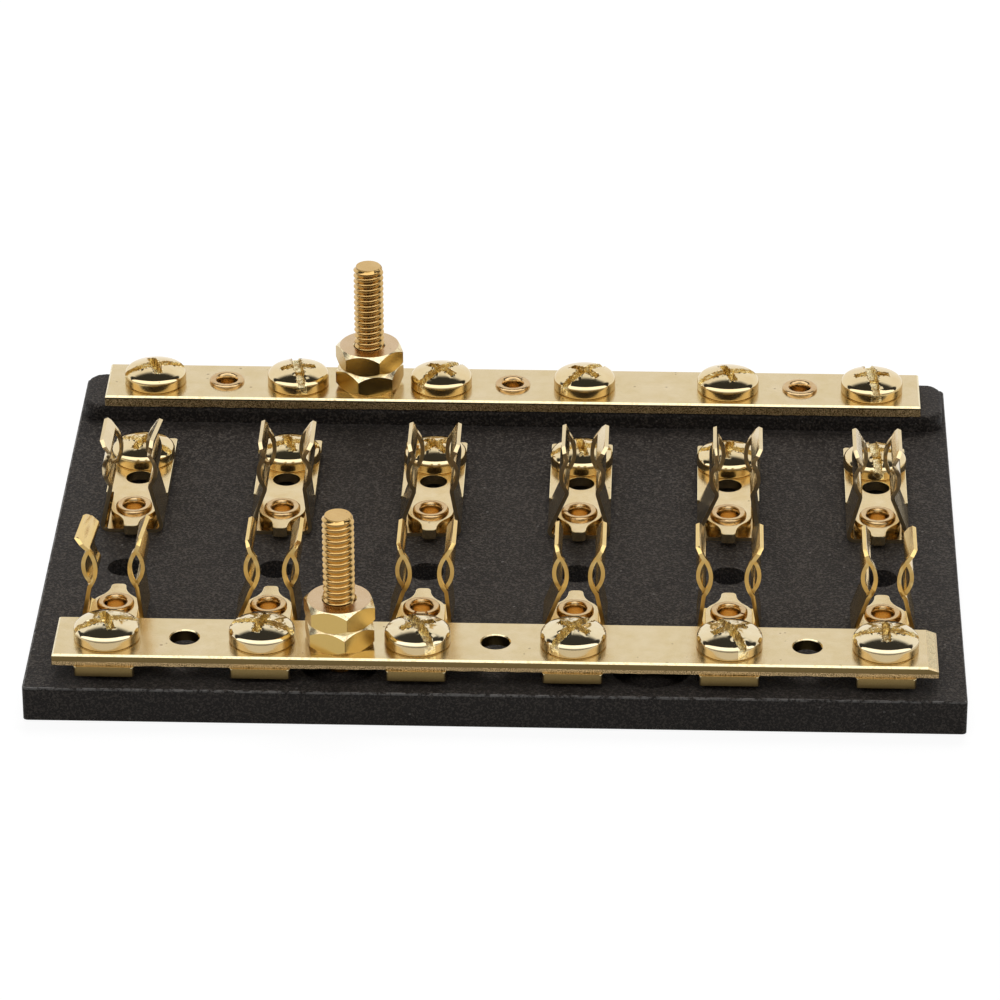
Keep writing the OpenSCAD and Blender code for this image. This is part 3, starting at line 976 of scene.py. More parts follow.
@dataclass
class BusBars:
    """Two flat bars, rolled over at the top edge and torn at the lower one."""

    screw_r: float = 2.1
    rivet_r: float = 1.775
    stud_r: float = 2.025
    roll: float = 0.22
    burr: float = 0.05
    burr_seed: int = 7
    sink: float = 0.13
    skin: float = 0.1
    segments: int = 220
    worn: float = 1.3
    worn_drop: float = 0.4
    worn_share: float = 0.4

    # How much painted shade the upright faces take: the front bar fully, the rear bar a tenth.
    cut_share = {Row.FRONT: 1.0, Row.REAR: 0.1}
    tear = {Row.FRONT: 0.5, Row.REAR: 1.0}

    def build(self, row: Row) -> None:
        """Model one bar and dress it.

        Args:
            row: Which bar.
        """
        node = f"{row.value}_bus_bar"
        seat = Seat.of(node)
        low, high = seat.low, seat.high
        tear_top = low.z + self.tear[row]
        cut_share = self.cut_share[row]

        def torn(c: Vector, n: Vector) -> float:
            """Judge a face: the lower edge is torn all round, and the front bar's end is worn.

            Args:
                c: Middle of the face.
                n: Its normal.

            Returns:
                How far it is torn, from 0 to 1.
            """
            if row is Row.FRONT and n.z > 0.5 and n.x > 0.2:
                return self.worn_share
            side = abs(c.y - seat.y) > (high.y - low.y) / 2 - self.skin or abs(c.x) > high.x - self.skin
            return side and abs(n.z) < 0.9 and c.z < tear_top

        piece = Workpiece.box(f"{row.value}_bar_strip", low, high)
        with piece.editing():
            bpy.ops.mesh.bisect(plane_co=(0, 0, tear_top), plane_no=(0, 0, 1))
            piece.pick_edges(lambda a, b: abs(a.x - b.x) > 1 and a.z + b.z < 2 * tear_top + TINY)
            bpy.ops.mesh.subdivide(number_cuts=self.segments)
            piece.pick_edges(lambda a, b: self.on_rim(a, low, high) and self.on_rim(b, low, high))
            bpy.ops.mesh.bevel(offset=self.roll, segments=1, affect="EDGES")
            if row is Row.FRONT:
                bpy.ops.mesh.select_all(action="SELECT")
                bpy.ops.mesh.bisect(plane_co=(high.x - self.worn, 0, 0), plane_no=(1, 0, 0))
                piece.pick_points(lambda p: p.x > high.x - self.worn + 0.01 and p.z > tear_top + 0.1)
                bpy.ops.transform.translate(value=(0, 0, -self.worn_drop))
        piece.roughened(lambda p: p.z < low.z + TINY, self.burr, self.burr_seed)
        stud_x = Seat.of(f"{row.value}_stud").x
        holes = [(Seat.of(f"{row.value}_bar_screw_{i}").x, self.screw_r) for i in WAYS]
        holes += [(stud_x, self.stud_r)] + [(2 * k * stud_x, self.rivet_r) for k in (-1, 0, 1)]
        bores = [self.bore(r, low.z, high.z).moved((x, seat.y, 0)) for x, r in holes]
        piece.combine(bores[0].joined(bores[1:]))
        piece.marked("edge", lambda c, n: c.z > high.z - self.roll and 0.05 < n.z < FLAT)
        piece.marked("tear", torn)
        # Painted shade: the upright faces above the torn band take the dark cut tone.
        piece.marked("cut", lambda c, n: cut_share * (abs(n.z) < 0.5 and c.z >= tear_top))
        piece.smoothed(30)
        piece.dressed(BAR_FINISH.material(), "bar_brass", BLOCK, node)

    def bore(self, radius: float, low: float, high: float) -> Workpiece:
        """Tool for a hole with a rimmed upper edge.

        Args:
            radius: Radius of the hole.
            low: Underside of the bar.
            high: Top of the bar.

        Returns:
            The cutting tool on the Z axis.
        """
        wide = radius + self.sink
        profile = [
            (0, low - 1), (radius, low - 1), (radius, high - self.sink), (wide, high), (wide, high + 1),
            (0, high + 1),
        ]
        return Workpiece.turned("bore", profile, 48)

    def on_rim(self, point: Vector, low: Vector, high: Vector) -> bool:
        """Whether a point lies on the upper outline of the bar."""
        on_side = min(point.x - low.x, high.x - point.x, point.y - low.y, high.y - point.y) < TINY
        return on_side and high.z - point.z < TINY


@dataclass(frozen=True)
class Lean:
    """How far handling has bent a clip's arm to the right, and its back edges further."""

    seat: float
    tip: float
    seat_twist: float = 0.0
    tip_twist: float = 0.0


@dataclass
class SpringClips:
    """Folded spring clips with a lanced end stop on each arm."""

    stop_reach = 3.8
    seat_reach: float = 3.5
    sheet: float = 0.5
    foot_w: float = 8.0
    bend_r: float = 0.55
    height: float = 12.9
    seat_r: float = 3.2
    seat_h: float = 8.9
    seat_angle: float = 40.0
    flare: float = 24.0
    stop_w: float = 0.6
    stop_gap: float = 3.26
    stop_rise: float = 2.6
    tip_cut: float = 0.72
    rivet_r: float = 1.775
    neck_ease: float = 0.3
    edge_r: float = 0.19
    cut_share: float = 0.8
    leg_h: float = 4.0
    back_w: float = 0.9

    # The left and the right arm of each way.
    leans = {
        Row.FRONT: (
            (Lean(0.0, -0.75, 0.5), Lean(0.45, 0.25, 0.0, 0.5)), (Lean(1.0, 1.25), Lean(0.45, 0.8)),
            (Lean(0.65, 0.8), Lean(0.5, 0.75)), (Lean(0.9, 1.15), Lean(0.0, 0.15)),
            (Lean(-0.45, -0.6), Lean(0.15, 0.4)), (Lean(0.7, 0.8), Lean(-0.2, 0.15)),
        ),
        Row.REAR: (
            (Lean(0.15, -0.1), Lean(-0.2, -0.6, 0.0, 0.7)), (Lean(0.8, 1.0), Lean(0.45, 0.7)),
            (Lean(0.75, 0.9), Lean(0.15, 0.25)), (Lean(1.15, 1.4), Lean(-0.35, 0.0)),
            (Lean(1.15, 1.55), Lean(0.25, 0.5)), (Lean(0.3, 0.2), Lean(-1.0, -0.9)),
        ),
    }

    def half_path(self, stop: bool) -> list[Point]:
        """Middle line of one arm, from the middle of the floor to the tip.

        Args:
            stop: Whether the line runs along the end stop.

        Returns:
            Points of X and Z.
        """
        mid_r = self.seat_r + self.sheet / 2
        bend_r = self.bend_r + self.sheet / 2
        bend = (self.foot_w / 2 - self.sheet - self.bend_r, self.sheet + self.bend_r)
        turn = math.radians(self.seat_angle)
        neck_x, rise = mid_r * math.cos(turn), mid_r * math.sin(turn)
        low_neck, high_neck = (neck_x, self.seat_h - rise), (neck_x, self.seat_h + rise)
        dx, dz = low_neck[0] - bend[0], low_neck[1] - bend[1]
        lean = math.atan2(dz, dx) - math.acos(bend_r / math.hypot(dx, dz))
        flare = math.tan(math.radians(self.flare))

        def on_leg(z: float) -> Point:
            """The point of the leg at a height."""
            return low_neck[0] + (low_neck[1] - z) * math.tan(lean), z

        def on_flare(z: float) -> Point:
            """The point of the flared tip at a height."""
            return high_neck[0] + (z - high_neck[1]) * flare, z

        foot = [(0.0, self.sheet / 2), (bend[0] / 2, self.sheet / 2)]
        foot += arc(bend, bend_r, -90, math.degrees(lean), 6)
        stop_low, stop_high = on_leg(self.seat_h - self.stop_rise), on_flare(self.seat_h + self.stop_rise)
        tip_h = self.height - self.seat_h - self.stop_rise
        tip = [on_flare(self.seat_h + self.stop_rise + share * tip_h) for share in (0.5, 1)]
        if stop:
            middle = (self.stop_gap / 2 + self.sheet / 2, self.seat_h)
            centre, radius = self.circle(stop_low, middle, stop_high)
            ends = [
                math.degrees(math.atan2(z - centre[1], x - centre[0])) % 360
                for x, z in (stop_low, stop_high)
            ]
            run = arc(centre, radius, *ends, 16)
        else:
            bow = arc((0.0, self.seat_h), mid_r, -self.seat_angle, self.seat_angle, 16)
            run = [stop_low, *eased(on_leg(low_neck[1] - self.neck_ease), low_neck, bow[1]), *bow[2:-2]]
            run += [*eased(bow[-2], high_neck, on_flare(high_neck[1] + self.neck_ease)), stop_high]
        return foot + run + tip

    @staticmethod
    def circle(a: Point, b: Point, c: Point) -> tuple[Point, float]:
        """The circle through three points.

        Args:
            a: First point.
            b: Second point.
            c: Third point.

        Returns:
            Its centre and its radius.
        """
        d = 2 * (a[0] * (b[1] - c[1]) + b[0] * (c[1] - a[1]) + c[0] * (a[1] - b[1]))
        square = [p[0] ** 2 + p[1] ** 2 for p in (a, b, c)]
        x = (square[0] * (b[1] - c[1]) + square[1] * (c[1] - a[1]) + square[2] * (a[1] - b[1])) / d
        z = (square[0] * (c[0] - b[0]) + square[1] * (a[0] - c[0]) + square[2] * (b[0] - a[0])) / d
        return (x, z), math.hypot(a[0] - x, a[1] - z)

    def pressing(self) -> Workpiece:
        """One clip with its rivet hole at the origin and its end stops towards -Y.

        Returns:
            The piece.
        """
        def at_corner(p: Vector) -> bool:
            """Whether a point is an upper corner of an arm."""
            to_end = min(abs(p.y + self.stop_reach), abs(p.y - self.seat_reach))
            return p.z > self.height - TINY and to_end < TINY

        split = self.stop_w - self.stop_reach
        strips = []
        for stop, start, end in ((False, split, self.seat_reach), (True, -self.stop_reach, split)):
            half = self.half_path(stop)
            path = [(-x, z) for x, z in reversed(half[1:])] + half
            strips.append(Workpiece.ribbon("strip", path, start, end))
        piece = strips[0].joined(strips[1:]).closed()
        with piece.editing():
            piece.pick_points(at_corner)
            bpy.ops.mesh.bevel(offset=self.tip_cut, segments=1, affect="VERTICES")
        piece.modify("SOLIDIFY", thickness=self.sheet, offset=0.0, use_even_offset=True)
        piece.combine(Workpiece.rod("bore", self.rivet_r, (0, 0, -1), 3, 48))
        piece.edged(self.edge_r, 3, 40)
        return piece.marked("cut", lambda c, n: self.cut_share * (abs(n.y) > 0.8))

    def leaned(self, clip: Workpiece, at: Vec, arms: Sequence[Lean]) -> Workpiece:
        """Bend the two arms of a clip as handling has left them.

        Args:
            clip: The clip, in its place.
            at: Middle of its floor.
            arms: The leans of the left and the right arm.

        Returns:
            The clip.
        """
        x, y, z = at
        back = y + self.seat_reach - self.back_w
        half_flare = (self.height - self.seat_h - self.stop_rise) / 2
        leg, neck = z + self.leg_h, z + self.height - 1.5 * half_flare
        end = z + self.height - half_flare / 2
        with clip.editing():
            for side, arm in zip((-1, 1), arms):
                rise, twist = (arm.tip - arm.seat) / 2, arm.tip_twist / 2
                moves = [(leg, -math.inf, arm.seat), (neck, -math.inf, rise), (end, -math.inf, rise)]
                moves += [(leg, back, arm.seat_twist), (neck, back, twist), (end, back, twist)]
                for height, depth, shift in moves:
                    clip.pick_points(lambda p: (p.x - x) * side > 0 and p.z > height and p.y > depth)
                    bpy.ops.transform.translate(value=(shift, 0, 0))
        return clip

    def build(self) -> None:
        """Model the clips of both rows and dress them."""
        master = self.pressing()
        for i in WAYS:
            # The front clips take the finish whose cut edges are painted darker as shade.
            for row, turn, finish in ((Row.FRONT, 0.0, CLIP_FINISH), (Row.REAR, 180.0, PALE_CLIP_FINISH)):
                node = f"{row.value}_clip_{i}"
                seat = Seat.of(node)
                y = seat.low.y + self.stop_reach if row is Row.FRONT else seat.high.y - self.stop_reach
                at = (seat.x, y, seat.low.z)
                clip = master.copied(f"{row.value}_spring_clip_{i}", at, turn)
                self.leaned(clip, at, self.leans[row][i - 1]).smoothed(50)
                clip.dressed(finish.material(), "clip_brass", BLOCK, node)
        master.scrapped()


@dataclass
class TerminalPlates:
    """Flat terminal plates riveted on the clip floors."""

    corner_r: float = 0.4
    end: float = 5.2
    neck_r: float = 2.95
    shoulder: float = 3.9
    tab_w: float = 1.9
    tab_corner_r: float = 0.6
    tab_reach: float = 5.2
    fillet_r: float = 3.3
    rivet_r: float = 1.775
    screw_r: float = 2.1
    spare_r: float = 1.73
    spare_reach: float = 8.0
    roll: float = 0.1

    def outline(self, width: float, reach: float) -> list[Point]:
        """Outline with the rivet at the origin and the screw towards -Y.

        Args:
            width: Width under the screw.
            reach: Distance from the rivet to the screw.

        Returns:
            Points of X and Y.
        """
        half, end, r = width / 2, -reach - self.end, self.corner_r
        cx = self.tab_w / 2 + self.fillet_r
        cy = math.sqrt((self.neck_r + self.fillet_r) ** 2 - cx * cx)
        meet = math.degrees(math.atan2(cy, cx))
        right = arc((half - r, end + r), r, -90, 0, 6)
        right += [(half, -self.shoulder), (self.neck_r, -self.shoulder)]
        right += arc((0, 0), self.neck_r, 0, meet, 12)
        right += arc((cx, cy), self.fillet_r, meet + 180, 180, 5)[1:]
        tip = self.tab_corner_r
        right += arc((self.tab_w / 2 - tip, self.tab_reach - tip), tip, 0, 90, 4)
        return right + [(-x, y) for x, y in reversed(right)]

    def build(self) -> None:
        """Model the plates of both rows and dress them."""
        for row, turn in ((Row.FRONT, 0.0), (Row.REAR, 180.0)):
            first = Seat.of(f"{row.value}_terminal_1")
            reach = first.high.y - first.low.y - self.tab_reach - self.end
            outline = self.outline(first.high.x - first.low.x, reach)
            master = Workpiece.slab("plate", outline, 0, first.high.z - first.low.z)
            bores = [(0.0, self.rivet_r), (-reach, self.screw_r)]
            if row is Row.REAR:
                bores.append((-self.spare_reach, self.spare_r))
            rods = [Workpiece.rod("bore", r, (0, y, -1), 4, 48) for y, r in bores]
            master.combine(rods[0].joined(rods[1:]))
            master.edged(self.roll, 2, 50)
            # Painted shade: only the outer end face at the screw takes the dark cut tone.
            master.marked("cut", lambda c, n: float(n.y < -0.92))
            for i in WAYS:
                node = f"{row.value}_terminal_{i}"
                seat = Seat.of(node)
                y = seat.high.y - self.tab_reach if row is Row.FRONT else seat.low.y + self.tab_reach
                plate = master.copied(f"{row.value}_plate_{i}", (seat.x, y, seat.low.z), turn)
                plate.smoothed()
                plate.dressed(PLATE_FINISH.material(), "plate_brass", BLOCK, node)
            master.scrapped()


@dataclass
class Thread:
    """A rolled thread."""

    pitch: float = 0.794
    crest_r: float = 1.975
    root_r: float = 1.58

    def threaded(
        self, name: str, low: float, high: float, tip_r: float, tip_h: float, steps: int = 40,
    ) -> Workpiece:
        """A threaded rod with bevelled ends.

        Args:
            name: Name of the piece.
            low: Lower end.
            high: Upper end.
            tip_r: Radius at the ends.
            tip_h: Length of the bevels.
            steps: Steps of one turn.

        Returns:
            The closed piece.
        """
        p, start = self.pitch, low - 2 * self.pitch
        depth = self.crest_r - self.root_r
        rise = [(0.0, 0.0), (0.0, 0.1), (0.12, 0.17), (0.86, 0.4), (0.97, 0.46)]
        rise += [(1.0, 0.5)] + [(share, 1 - z) for share, z in reversed(rise)]
        shape = [(self.root_r + share * depth, z) for share, z in rise]
        piece = Workpiece.wire(name, [(r, 0.0, start + share * p) for r, share in shape])
        turns = math.ceil((high - low) / p) + 4
        piece.modify(
            "SCREW", axis="Z", angle=math.tau, screw_offset=p, iterations=turns, steps=steps,
            render_steps=steps, use_merge_vertices=True, merge_threshold=TINY,
        )
        with piece.editing():
            bpy.ops.mesh.remove_doubles(threshold=TINY)
            for z, up in ((low - 0.2, -1), (high + 0.2, 1)):
                bpy.ops.mesh.select_all(action="SELECT")
                cut = {"plane_co": (0, 0, z), "plane_no": (0, 0, up)}
                bpy.ops.mesh.bisect(**cut, use_fill=True, clear_outer=True)
            bpy.ops.mesh.select_all(action="SELECT")
            bpy.ops.mesh.normals_make_consistent(inside=False)
        room = self.crest_r + 0.001
        envelope = [
            (0, low), (tip_r, low), (room, low + tip_h), (room, high - tip_h), (tip_r, high), (0, high),
        ]
        return piece.combine(Workpiece.turned("envelope", envelope, 64), "INTERSECT")


@dataclass
class Screws:
    """Pan head screws with a slot and a cross recess."""

    head_r: float = 4.075
    rim_h: float = 1.55
    head_h: float = 2.5
    rim_r: float = 0.5
    foot_r: float = 0.22
    slot_w: float = 1.4
    slot_depth: float = 1.25
    cross_w: float = 1.2
    cross_l: float = 4.6
    cross_depth: float = 1.5
    length: float = 4.75
    shank_tip_r: float = 1.5
    shank_tip_h: float = 0.5
    edge_r: float = 0.08
    burr: float = 0.08
    floor: float = 0.6
    mouth: float = 1.2
    tool_cuts: int = 14
    cross_seed: int = 20
    wear_w: float = 0.1
    wear_depth: float = 0.12
    variants: int = 3

    thread = Thread(crest_r=2.05, root_r=1.66)

    turns = {
        "front_bar": (20, -15, -65, 55, -65, 0),
        "rear_bar": (18, -80, 50, 50, 20, -83),
        "rear_clip": (-25, 15, 40, 10, -10, -85),
    }

    def master(self, seed: int) -> Workpiece:
        """One screw, underside of its head at the origin and its slot along X.

        Args:
            seed: Seed of the wear in its slot.

        Returns:
            The piece.
        """
        rise = self.head_h - self.rim_h
        crown_r = (self.head_r**2 + rise**2) / (2 * rise)
        slope = math.degrees(math.asin((self.head_r - self.rim_r) / crown_r))
        crown = arc((0, self.head_h - crown_r), crown_r, 90 - slope, 90, 14)
        edge = eased((self.head_r, self.rim_h - self.rim_r), (self.head_r, self.rim_h), crown[0], 6)
        foot = arc((self.head_r - self.foot_r, self.foot_r), self.foot_r, -90, 0, 4)
        profile = [(0.0, 0.0), *foot, *edge, *crown[1:-1], (0.0, self.head_h)]
        piece = Workpiece.turned("screw", profile, 72)
        slot = Workpiece.box(
            "slot", (-self.head_r - 1, -self.slot_w / 2, self.head_h - self.slot_depth),
            (self.head_r + 1, self.slot_w / 2, self.head_h + 1),
        )
        cross = Workpiece.box(
            "cross", (-self.cross_w / 2, -self.cross_l / 2, self.head_h - self.cross_depth),
            (self.cross_w / 2, self.cross_l / 2, self.head_h + 1),
        )
        tools = (
            (slot, 0, (1, self.floor, 1), (1, self.mouth, 1)),
            (cross, self.cross_seed, (self.floor, 1, 1), (self.mouth, 1, 1)),
        )
        for tool, shift, narrow, wide in tools:
            with tool.editing():
                tool.pick_edges(lambda a, b: (a - b).length > self.cross_l - TINY)
                bpy.ops.mesh.subdivide(number_cuts=self.tool_cuts)
                tool.pick_points(lambda p: p.z < self.rim_h)
                bpy.ops.transform.resize(value=narrow)
                tool.pick_points(lambda p: p.z > self.rim_h)
                bpy.ops.transform.resize(value=wide)
                bpy.ops.mesh.select_all(action="SELECT")
                bpy.ops.mesh.subdivide(number_cuts=1)
            tool.roughened(lambda p: True, self.burr, seed + shift)
            piece.combine(tool)
        sunk = self.head_h - crown_r

        def depth(p: Vector) -> float:
            """How far a point lies under the crown."""
            return sunk + math.sqrt(crown_r**2 - min(p.x**2 + p.y**2, self.head_r**2)) - p.z

        def by_recess(p: Vector) -> bool:
            """Look for the slot or the cross at a point.

            Args:
                p: The point.

            Returns:
                Whether the point lies in or beside either of them.
            """
            in_slot = abs(p.y) < self.slot_w / 2 + self.wear_w
            across, along = self.cross_w / 2 + self.wear_w, self.cross_l / 2 + self.wear_w
            return in_slot or abs(p.x) < across and abs(p.y) < along

        piece.roughened(lambda p: by_recess(p) and abs(depth(p)) < 0.03, self.burr, seed)
        piece.edged(self.edge_r, 2, 42)
        shank = self.thread.threaded("shank", -self.length, 0.3, self.shank_tip_r, self.shank_tip_h, 28)
        piece.combine(shank, "UNION")
        wall_r = self.head_r - 0.05
        # The recesses take chewed wear and a pale tear tone, partly painted glints.
        piece.marked("tear", lambda c, n: c.z > 0.5 and by_recess(c) and depth(c) > self.wear_depth)
        piece.marked("cut", lambda c, n: abs(n.z) < 0.6 and math.hypot(c.x, c.y) > wall_r)
        return piece.sound()

    def build(self) -> None:
        """Model the screws of the three rows and dress them."""
        masters = [self.master(seed) for seed in range(1, self.variants + 1)]
        for k, (row, turns) in enumerate(self.turns.items()):
            for i, turn in zip(WAYS, turns):
                node = f"{row}_screw_{i}"
                seat = Seat.of(node)
                at = (seat.x, seat.y, seat.low.z + self.length)
                screw = masters[(i + k) % self.variants].copied(f"{row}_pan_screw_{i}", at, turn)
                screw.smoothed(35)
                finish = SCREW_FINISH if row == "front_bar" else WARM_SCREW_FINISH
                screw.dressed(finish.material(), "screw_brass", node, node)
        for master in masters:
            master.scrapped()


@dataclass
class StudsAndNuts:
    """Threaded studs, each with a fixing nut and a terminal nut."""

    tip_r: float = 1.6
    tip_h: float = 0.45
    flats: float = 7.94
    face_r: float = 3.9
    chamfer: float = 45.0
    bore_r: float = 2.025
    sink_r: float = 2.175
    # The thread roots are painted darker: painted shade in the grooves.
    root_shade_reach: float = 0.4
    root_shade_share: float = 0.8

    turns = {"front_fixing": -79, "front_terminal": -75, "rear_fixing": -106, "rear_terminal": -70}

    def nut(self, height: float) -> Workpiece:
        """One nut on the X-Y plane, a corner towards +X.

        Args:
            height: Thickness of the nut.

        Returns:
            The piece.
        """
        corner = self.flats / 2 / math.cos(math.radians(30))
        drop = (corner - self.face_r) * math.tan(math.radians(self.chamfer))
        piece = Workpiece.rod("nut", corner, (0, 0, 0), height, 6)
        piece.obj.data.transform(Matrix.Rotation(math.radians(30), 4, "Z"))
        wide = corner + 0.01
        body = [
            (0, 0), (self.face_r, 0), (wide, drop), (wide, height - drop), (self.face_r, height),
            (0, height),
        ]
        piece.combine(Workpiece.turned("chamfer", body, 96), "INTERSECT")
        sink = self.sink_r - self.bore_r
        bore = [
            (0, -1), (self.sink_r + 1, -1), (self.sink_r, 0), (self.bore_r, sink),
            (self.bore_r, height - sink), (self.sink_r, height), (self.sink_r + 1, height + 1),
            (0, height + 1),
        ]
        piece.combine(Workpiece.turned("bore", bore, 64))
        # The chamfers take the pale edge tone: edge wear and a painted highlight.
        piece.marked("edge", lambda c, n: 0.2 < abs(n.z) < 0.95)
        return piece.marked("cut", lambda c, n: abs(n.z) < 0.1 and math.hypot(c.x, c.y) > self.sink_r)

    def build(self) -> None:
        """Model studs and nuts and dress them."""
        thread = Thread()
        groove_r = thread.root_r + self.root_shade_reach * (thread.crest_r - thread.root_r)

        def in_root_shade(c: Vector, n: Vector) -> float:
            """How far a face of the thread lies in its root, which is painted darker as shade."""
            return self.root_shade_share * (math.hypot(c.x, c.y) < groove_r and abs(n.z) < 0.99)

        for row in Row:
            node = f"{row.value}_stud"
            seat = Seat.of(node)
            stud = thread.threaded(f"{row.value}_post", seat.low.z, seat.high.z, self.tip_r, self.tip_h)
            stud.marked("cut", in_root_shade).moved((seat.x, seat.y, 0)).smoothed(60)
            stud.dressed(STUD_FINISH.material(), "stud_brass", BLOCK, node)
        first = Seat.of("front_fixing_nut")
        master = self.nut(first.high.z - first.low.z)
        for name, turn in self.turns.items():
            node = f"{name}_nut"
            seat = Seat.of(node)
            nut = master.copied(f"{name}_hexagon", (seat.x, seat.y, seat.low.z), turn)
            nut.smoothed(20)
            nut.dressed(NUT_FINISH.material(), "nut_brass", node if "terminal" in name else BLOCK, node)
        master.scrapped()


@dataclass
class Eyelets:
    """Rolled eyelets that rivet clips, plates and the rear bar to the base."""

    bore_r: float = 1.3
    barrel_r: float = 1.675
    rim_r: float = 2.325
    rim_h: float = 0.45
    outer_r: float = 0.32
    lip_r: float = 0.45
    lip_h: float = 0.9
    foot: float = 1.2
    crumple: float = 0.02
    ring_turn: float = 37.0
    split_w: float = 0.3
    split_depth: float = 0.3

    # Where the rims of single eyelets have split, in degrees from the right, by row and way.
    splits = {("front_clip", 3): (-70, -112), ("front_clip", 5): (-28,), ("rear_clip", 4): (192,)}

    def eyelet(self, top: float) -> Workpiece:
        """One eyelet on the Z axis.

        Args:
            top: Height of the sheet under its upper rim.

        Returns:
            The piece.
        """
        r, z = self.bore_r, self.rim_h
        lip = eased((r, z - self.lip_h), (r, z), (r + self.lip_r, z), 8)
        roll = arc((self.rim_r - self.outer_r, self.rim_h - self.outer_r), self.outer_r, 90, 0, 5)
        rim = [*lip, *roll, (self.rim_r, 0.0)]
        profile = [(r, top + z) for r, z in rim] + [(self.barrel_r, top), (self.barrel_r, self.foot)]
        profile += [(r, self.foot - z) for r, z in reversed(rim)]
        piece = Workpiece.turned("eyelet", [*profile, profile[0]], 56)
        # Painted light: the bore walls take a pale cut tone, as if lit from above.
        return piece.marked("cut", lambda c, n: math.hypot(c.x, c.y) < self.bore_r + 0.1)

    def build(self) -> None:
        """Model the three rows of eyelets and dress them."""
        for k, name in enumerate(("front_clip", "rear_clip", "rear_bar")):
            node = f"{name}_eyelets"
            seat = Seat.of(node)
            low, high = seat.low, seat.high
            top = high.z - self.rim_h
            master = self.eyelet(top)
            notch = Workpiece.box(
                "notch", (self.bore_r + self.lip_r / 2, -self.split_w / 2, high.z - self.split_depth),
                (self.rim_r + 1, self.split_w / 2, high.z + 1),
            )
            count = 3 if name == "rear_bar" else len(WAYS)
            step = (high.x - low.x - 2 * self.rim_r) / (count - 1)
            rings = []
            for i in range(count):
                at = (low.x + self.rim_r + i * step, seat.y, 0)
                ring = master.copied("ring", at, self.ring_turn * i)
                for turn in self.splits.get((name, i + 1), ()):
                    ring.combine(notch.copied("split", at, turn))
                rings.append(ring.roughened(lambda p: p.z > top + 0.05, self.crumple, 10 * k + i))
            piece = rings[0].joined(rings[1:])
            piece.obj.name = f"{name}_rivets"
            piece.smoothed(60)
            piece.dressed(EYELET_FINISH.material(), "eyelet_metal", BLOCK, node)
            master.scrapped()
            notch.scrapped()


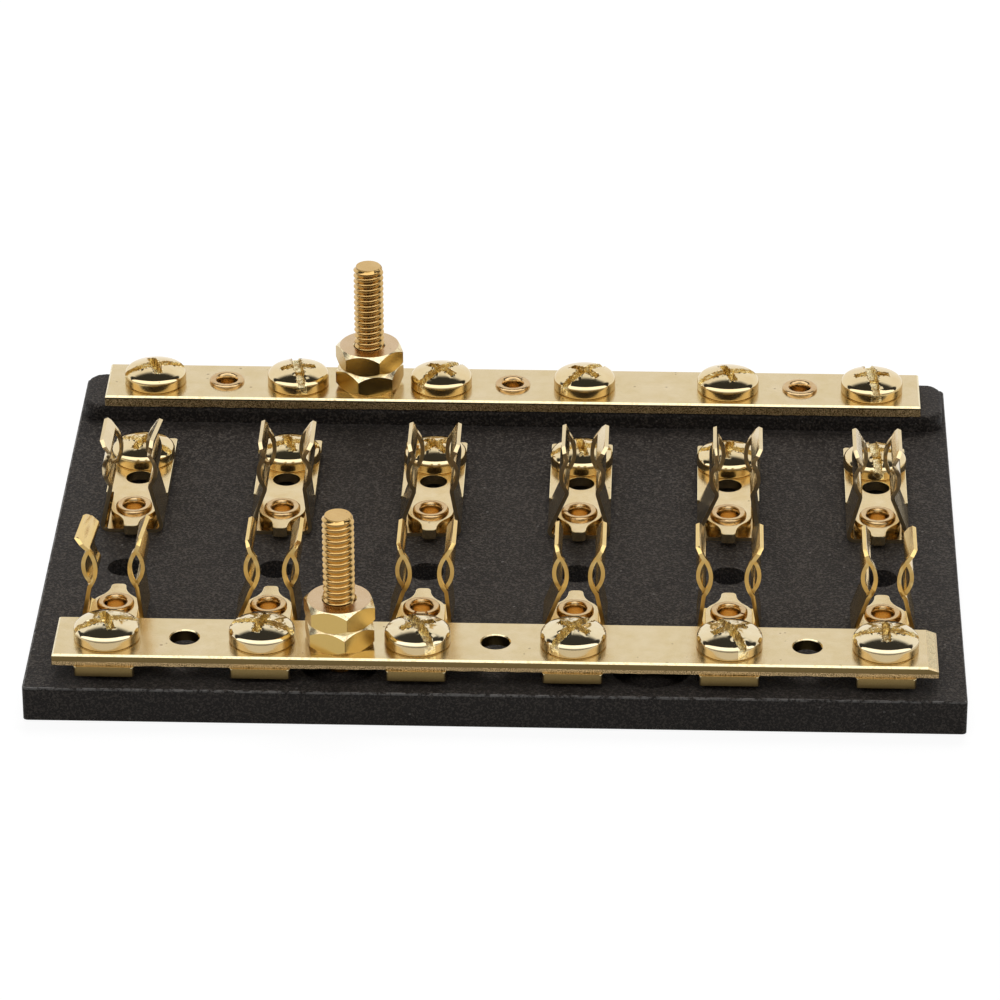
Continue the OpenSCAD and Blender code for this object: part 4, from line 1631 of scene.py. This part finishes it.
@dataclass
class Studio:
    """Camera, lamps, world and floor."""

    elevation: float = 28.369
    azimuth: float = 1.974
    roll: float = -0.115
    distance: float = 0.72601
    target: Vec = (-0.001163, 0.016913, 0.0)
    focal: float = 5541.6
    frame: float = 1000.0
    sensor: float = 36.0
    gap_rear: Point = (-42.0, -33.0)
    gap_front: Point = (-7.0, -2.0)
    fall: Point = (40.0, 75.0)
    rear_panel: float = 1.02
    front_panel: float = 1.7
    gap_light: float = 0.04
    low_light: float = 0.25
    plain_light: float = 0.25
    floor_size: float = 8.0
    floor_drop: float = 0.0002
    floor_tone: float = 0.38
    seen_tone: float = 0.12
    seen_glow: float = 0.92

    # Place in metres, side of the square and power in watts of each lamp.
    lamps = {"key": ((0.05, 0.5, 0.7), 0.5, 5.5), "fill": ((-0.25, -0.15, 0.9), 0.5, 1.2)}

    def camera(self) -> None:
        """Set up the camera at the photograph's viewing angle."""
        a, e, r = (math.radians(v) for v in (self.azimuth, self.elevation, self.roll))
        back = Vector((math.sin(a) * math.cos(e), -math.cos(a) * math.cos(e), math.sin(e)))
        right = (-back).cross(Vector((0, 0, 1))).normalized()
        up = right.cross(-back)
        across = math.cos(r) * right + math.sin(r) * up
        upright = math.cos(r) * up - math.sin(r) * right
        data = bpy.data.cameras.new("camera")
        data.sensor_width = self.sensor
        data.lens = self.focal * self.sensor / self.frame
        data.clip_start, data.clip_end = 0.01, 20.0
        camera = bpy.data.objects.new("camera", data)
        bpy.context.collection.objects.link(camera)
        turn = Matrix((across, upright, back)).transposed().to_4x4()
        camera.matrix_world = Matrix.Translation(Vector(self.target) + back * self.distance) @ turn
        bpy.context.scene.camera = camera

    def world(self) -> None:
        """White room: bright behind and in front, with a dark gap in the ceiling for the metal to show."""
        world = bpy.data.worlds.new("studio")
        bpy.context.scene.world = world
        world.use_nodes = True
        nodes = Nodes(world.node_tree)
        world.node_tree.nodes.clear()
        way = nodes.add("SeparateXYZ", {0: nodes.add("TexCoord").outputs["Generated"]}).outputs
        lean = nodes.math("ARCTAN2", nodes.math("MULTIPLY", way[1], -1.0), way[2])
        rear, front, fall = (
            [math.radians(angle) for angle in pair] for pair in (self.gap_rear, self.gap_front, self.fall)
        )
        gap = nodes.math("MULTIPLY", nodes.ramp(lean, *rear), nodes.ramp(lean, *front, 1.0, 0.0))
        panel = nodes.ramp(lean, *front, self.rear_panel, self.front_panel)
        ceiling = nodes.between(gap, panel, self.gap_light)
        ceiling = nodes.between(nodes.ramp(lean, *fall), ceiling, self.low_light)
        path = nodes.add("LightPath").outputs
        seen = nodes.math("MAXIMUM", path["Is Camera Ray"], path["Is Transmission Ray"])
        strength = nodes.between(path["Is Glossy Ray"], self.plain_light, ceiling)
        strength = nodes.between(seen, strength, 1.0)
        light = nodes.add("Background", {"Color": (1, 1, 1, 1), "Strength": strength})
        nodes.add("OutputWorld", {0: light.outputs[0]})

    def lamp(self, name: str, at: Vec, size: float, power: float) -> None:
        """Hang a soft lamp that looks at the block.

        Args:
            name: Name of the lamp.
            at: Its place in metres.
            size: Side of its square.
            power: Its power in watts.
        """
        data = bpy.data.lights.new(name, "AREA")
        data.size, data.energy = size, power
        lamp = bpy.data.objects.new(name, data)
        bpy.context.collection.objects.link(lamp)
        lamp.location = at
        lamp.rotation_mode = "QUATERNION"
        lamp.rotation_quaternion = (-Vector(at)).to_track_quat("-Z", "Y")
        lamp.visible_glossy = False

    def floor(self) -> None:
        """Lay a white floor that keeps the block's shadow."""
        lay_down()
        bpy.ops.mesh.primitive_plane_add(size=self.floor_size, location=(0, 0, -self.floor_drop))
        floor = bpy.context.object
        floor.name = "floor"
        material, nodes = Nodes.of_material("white_floor")
        nodes.tree.nodes.clear()
        path = nodes.add("LightPath").outputs
        seen = nodes.math("MAXIMUM", path["Is Camera Ray"], path["Is Glossy Ray"])
        seen = nodes.math("MAXIMUM", seen, path["Is Transmission Ray"])
        matt, pale = (
            nodes.add("BsdfDiffuse", {"Color": (tone, tone, tone, 1)}).outputs[0]
            for tone in (self.floor_tone, self.seen_tone)
        )
        glow = nodes.add("Emission", {"Color": (1, 1, 1, 1), "Strength": self.seen_glow}).outputs[0]
        white = nodes.add("AddShader", {0: pale, 1: glow}).outputs[0]
        shown = nodes.add("MixShader", {0: seen, 1: matt, 2: white}).outputs[0]
        clear = nodes.add("BsdfTransparent").outputs[0]
        under = nodes.add("NewGeometry").outputs["Backfacing"]
        nodes.add("OutputMaterial", {0: nodes.add("MixShader", {0: under, 1: shown, 2: clear}).outputs[0]})
        floor.data.materials.append(material)

    def build(self) -> None:
        """Set up the whole studio."""
        self.camera()
        self.world()
        for name, (at, size, power) in self.lamps.items():
            self.lamp(name, at, size, power)
        self.floor()
        bpy.context.scene.view_settings.view_transform = "Standard"


def main() -> None:
    """Load the frame and model every sub-assembly around it."""
    logging.basicConfig(level=logging.INFO, format="%(name)s: %(message)s")
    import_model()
    Studio().build()
    Base().build()
    bars = BusBars()
    for row in Row:
        bars.build(row)
    SpringClips().build()
    TerminalPlates().build()
    Screws().build()
    StudsAndNuts().build()
    Eyelets().build()


if __name__ == "__main__":
    main()
